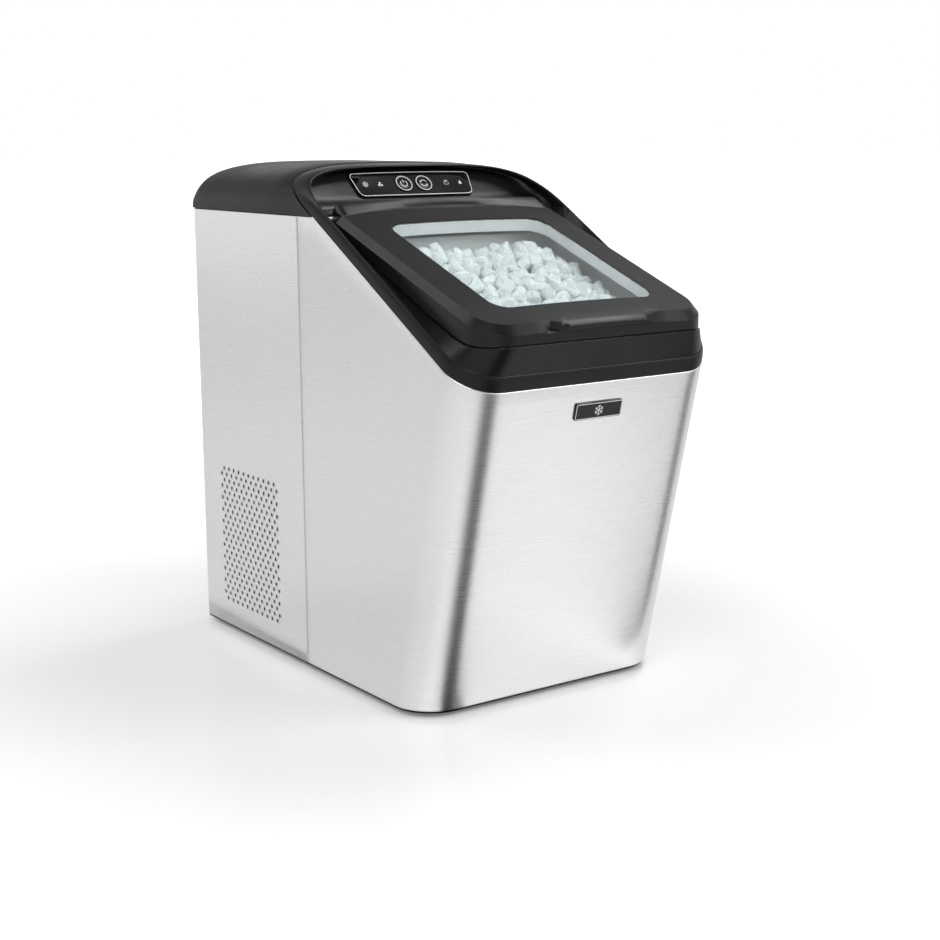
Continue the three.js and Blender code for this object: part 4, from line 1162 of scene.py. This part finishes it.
def cubes_sign(centre, size, low, high):
    """Three small ice blocks, two below and one above."""
    parts = []
    block = plate_outline(0.42 * size, 0.42 * size, 0.12 * size, 4, 2)
    for dx, dy, turn in ((-0.55, -0.45, 0.15), (0.55, -0.45, -0.2), (0.0, 0.55, 0.5)):
        c, s = math.cos(turn), math.sin(turn)
        middle = centre + size * np.array([dx, dy])
        parts.append(blade(block @ np.array([[c, s], [-s, c]]) + middle, low, high))
    return merged(*parts)


# ---- Control panel and name plate ----------------------------------------------------------
def on_panel(shape):
    """Panel coordinates (across, up the panel, out of it) to the layout."""
    return turn_about_x(shape, PANEL_TILT, (0.0, PANEL_Y, PANEL_Z))


def panel_outline(grow):
    """The film's outline: a trapezium 114 wide above and 106 below, with corners of 5."""
    outline = plate_outline(53 + grow, 11.5 + grow, 5 + grow, 9, 8)
    widen = 4 * (outline[:, 1] / 23 + 0.5)
    outline[:, 0] += np.sign(outline[:, 0]) * np.minimum(1, np.abs(outline[:, 0]) / 40) * widen
    outline[:, 1] += 0.9 * (1 - (outline[:, 0] / 57) ** 2) * (outline[:, 1] > 0)
    return outline


def control_panel():
    """The gloss film, its silver outline and four signs in silver print."""
    holes = [((-BUTTON_X, 0.0), 7.9), ((BUTTON_X, 0.0), 7.9)]
    film = on_panel(holed_plate(panel_outline(0), holes, 0.2, 1.7))
    make_piece("panel_film", film, GLOSS, replaces=["control_overlay"])
    low, high = 1.6, 1.76
    signs = ((snowflake, -44.5, 0.3, 2.6), (cubes_sign, -31, 0.3, 2.1), (tray_sign, 31, 0.3, 2.2),
             (drop_sign, 44.5, 0.2, 2.3))
    prints = [flat_band(panel_outline(-0.6), panel_outline(-1.25), low, high)]
    prints += [sign(np.array([x, y]), size, low, high) for sign, x, y, size in signs]
    make_piece("panel_print", on_panel(merged(*prints)), PRINT)


def push_button(name, x, sign):
    """A round cap, slightly dished, with a silver ring and its sign, on its own body."""
    offset = np.array([x, 0.0, 0.0])
    profile = [(0, -4.2), (7.55, -4.2), (7.6, 1.9), (7.35, 2.35), (6.6, 2.5), (4.0, 2.25), (0, 2.15)]
    points, faces = turned(profile)
    cap = on_panel((points + offset, faces))
    make_piece(name + "_cap", cap, GLOSS, name, replaces=[name])
    points, faces = merged(flat_band(circle(7.15), circle(6.45), 2.2, 2.62), *sign)
    make_piece(name + "_print", on_panel((points + offset, faces)), PRINT, name)


SIGN_R, SIGN_LOW, SIGN_HIGH = 2.9, 2.1, 2.42  # the buttons' signs


def power_sign():
    """A broken circle with a bar in its gap."""
    broken = circle(SIGN_R, 30, start=125, end=415)
    return [stroke(broken, 0.6, SIGN_LOW, SIGN_HIGH), line((0, 0.6), (0, 3.6), 0.6, SIGN_LOW, SIGN_HIGH)]


def clean_sign():
    """Two arrows that chase each other round a circle."""
    parts = []
    for start in (20, 200):
        arc = circle(SIGN_R, 16, start=start, end=start + 120)
        head = [spoke(r, math.radians(start + turn)) for r, turn in ((1.8, 118), (4.0, 118), (SIGN_R, 150))]
        parts += [stroke(arc, 0.55, SIGN_LOW, SIGN_HIGH), blade(head, SIGN_LOW, SIGN_HIGH)]
    return parts


def on_front(shape):
    """Name plate coordinates to the layout: the plate lies on the leaning front."""
    return turn_about_x(shape, math.pi / 2 + math.atan(LEAN), (PLATE_X, -LEAN * PLATE_Z, PLATE_Z))


def name_plate():
    """The gloss plate on the front, its silver outline and its snowflake."""
    body = plate(plate_outline(21, 6.2, 1.6, 6, 4), 0.1, 1.5, 0.3)
    make_piece("plate_body", on_front(body), GLOSS, replaces=["name_plate"])
    low, high = 1.4, 1.56
    rim = flat_band(plate_outline(20.5, 5.7, 1.3, 6, 4), plate_outline(20.0, 5.2, 1.0, 6, 4), low, high)
    prints = merged(rim, snowflake(np.zeros(2), 3.9, low, high, 0.6))
    make_piece("plate_print", on_front(prints), PRINT)


# ---- Ice -----------------------------------------------------------------------------------
def nugget_shapes(rng, count, rows=7, around=9):
    """Lumps of ice: a superellipsoid grid, stretched, pushed in and out by a few broad waves,
    and turned at random. Its poles are single points."""
    v = np.linspace(0, math.pi, rows + 1)[1:-1]
    u = np.linspace(0, 2 * math.pi, around, endpoint=False)
    v, u = np.meshgrid(v, u, indexing="ij")
    level = power(np.sin(v), 0.75)
    grid = [level * power(np.cos(u), 0.75), level * power(np.sin(u), 0.75), power(np.cos(v), 0.75)]
    unit, faces = poled_skin(np.stack(grid, axis=-1), (0, 0, 1), (0, 0, -1))
    lumps = []
    for _ in range(count):
        size = rng.uniform([5.2, 4.6, 4.0], [8.2, 7.0, 6.2])
        waves = rng.normal(size=(5, 3)) * 2.2
        phase = rng.uniform(0, 2 * math.pi, 5)
        push = 1 + 0.10 * np.sin(unit @ waves.T + phase).sum(axis=1)
        turn = np.linalg.qr(rng.normal(size=(3, 3)))[0]
        if np.linalg.det(turn) < 0:
            turn[:, 0] *= -1
        lumps.append((unit * size * push[:, None]) @ turn.T)
    return lumps, faces


def ice_heap():
    """The heaped ice: three layers of nuggets on a staggered lattice with jitter, their tops
    parallel to the lid and falling off towards the basket's rim."""
    rng = np.random.default_rng(7)
    step = 12.2
    spots = []
    for layer, depth in enumerate((18.6, 27.6, 36.6)):
        for i, y in enumerate(np.arange(-42, 106, step * 0.87)):
            for x in np.arange(-84, 85, step) + (i % 2) * step / 2 + layer * 3:
                px, py = np.array([x, y]) + rng.uniform(-2.6, 2.6, 2)
                edge = max(abs(px) - 52, 0) * 0.5 + max(py - 88, 0) * 0.6 + max(-18 - py, 0) * 0.6
                z = lid_top(py) - depth - edge + rng.uniform(-2.4, 2.4)
                z += 1.6 * math.sin(px * 0.07 + py * 0.05)
                if abs(px) < 86 and -42 < py < 104:
                    spots.append((px, py, z))
    lumps, faces = nugget_shapes(rng, len(spots))
    laid = []
    for lump, spot in zip(lumps, spots):
        lump = lump + np.array(spot)
        lump[:, 2] -= max(0, (lump[:, 2] - lid_top(lump[:, 1]) + LIFT_ROOM).max())
        laid.append((lump, faces))
    make_piece("heaped_ice", merged(*laid), ICE, "basket", crisp=None)


make_camera()
make_studio()
bpy.context.scene.view_settings.view_transform = "Standard"
front_wrap()
top_cover()
bezel()
fascia()
lid()
pane()
window_rim()
control_panel()
push_button("power_button", -BUTTON_X, power_sign())
push_button("clean_button", BUTTON_X, clean_sign())
name_plate()
ice_heap()
rear_wrap()
seam_beads()
dust_filters()
inlet_core()
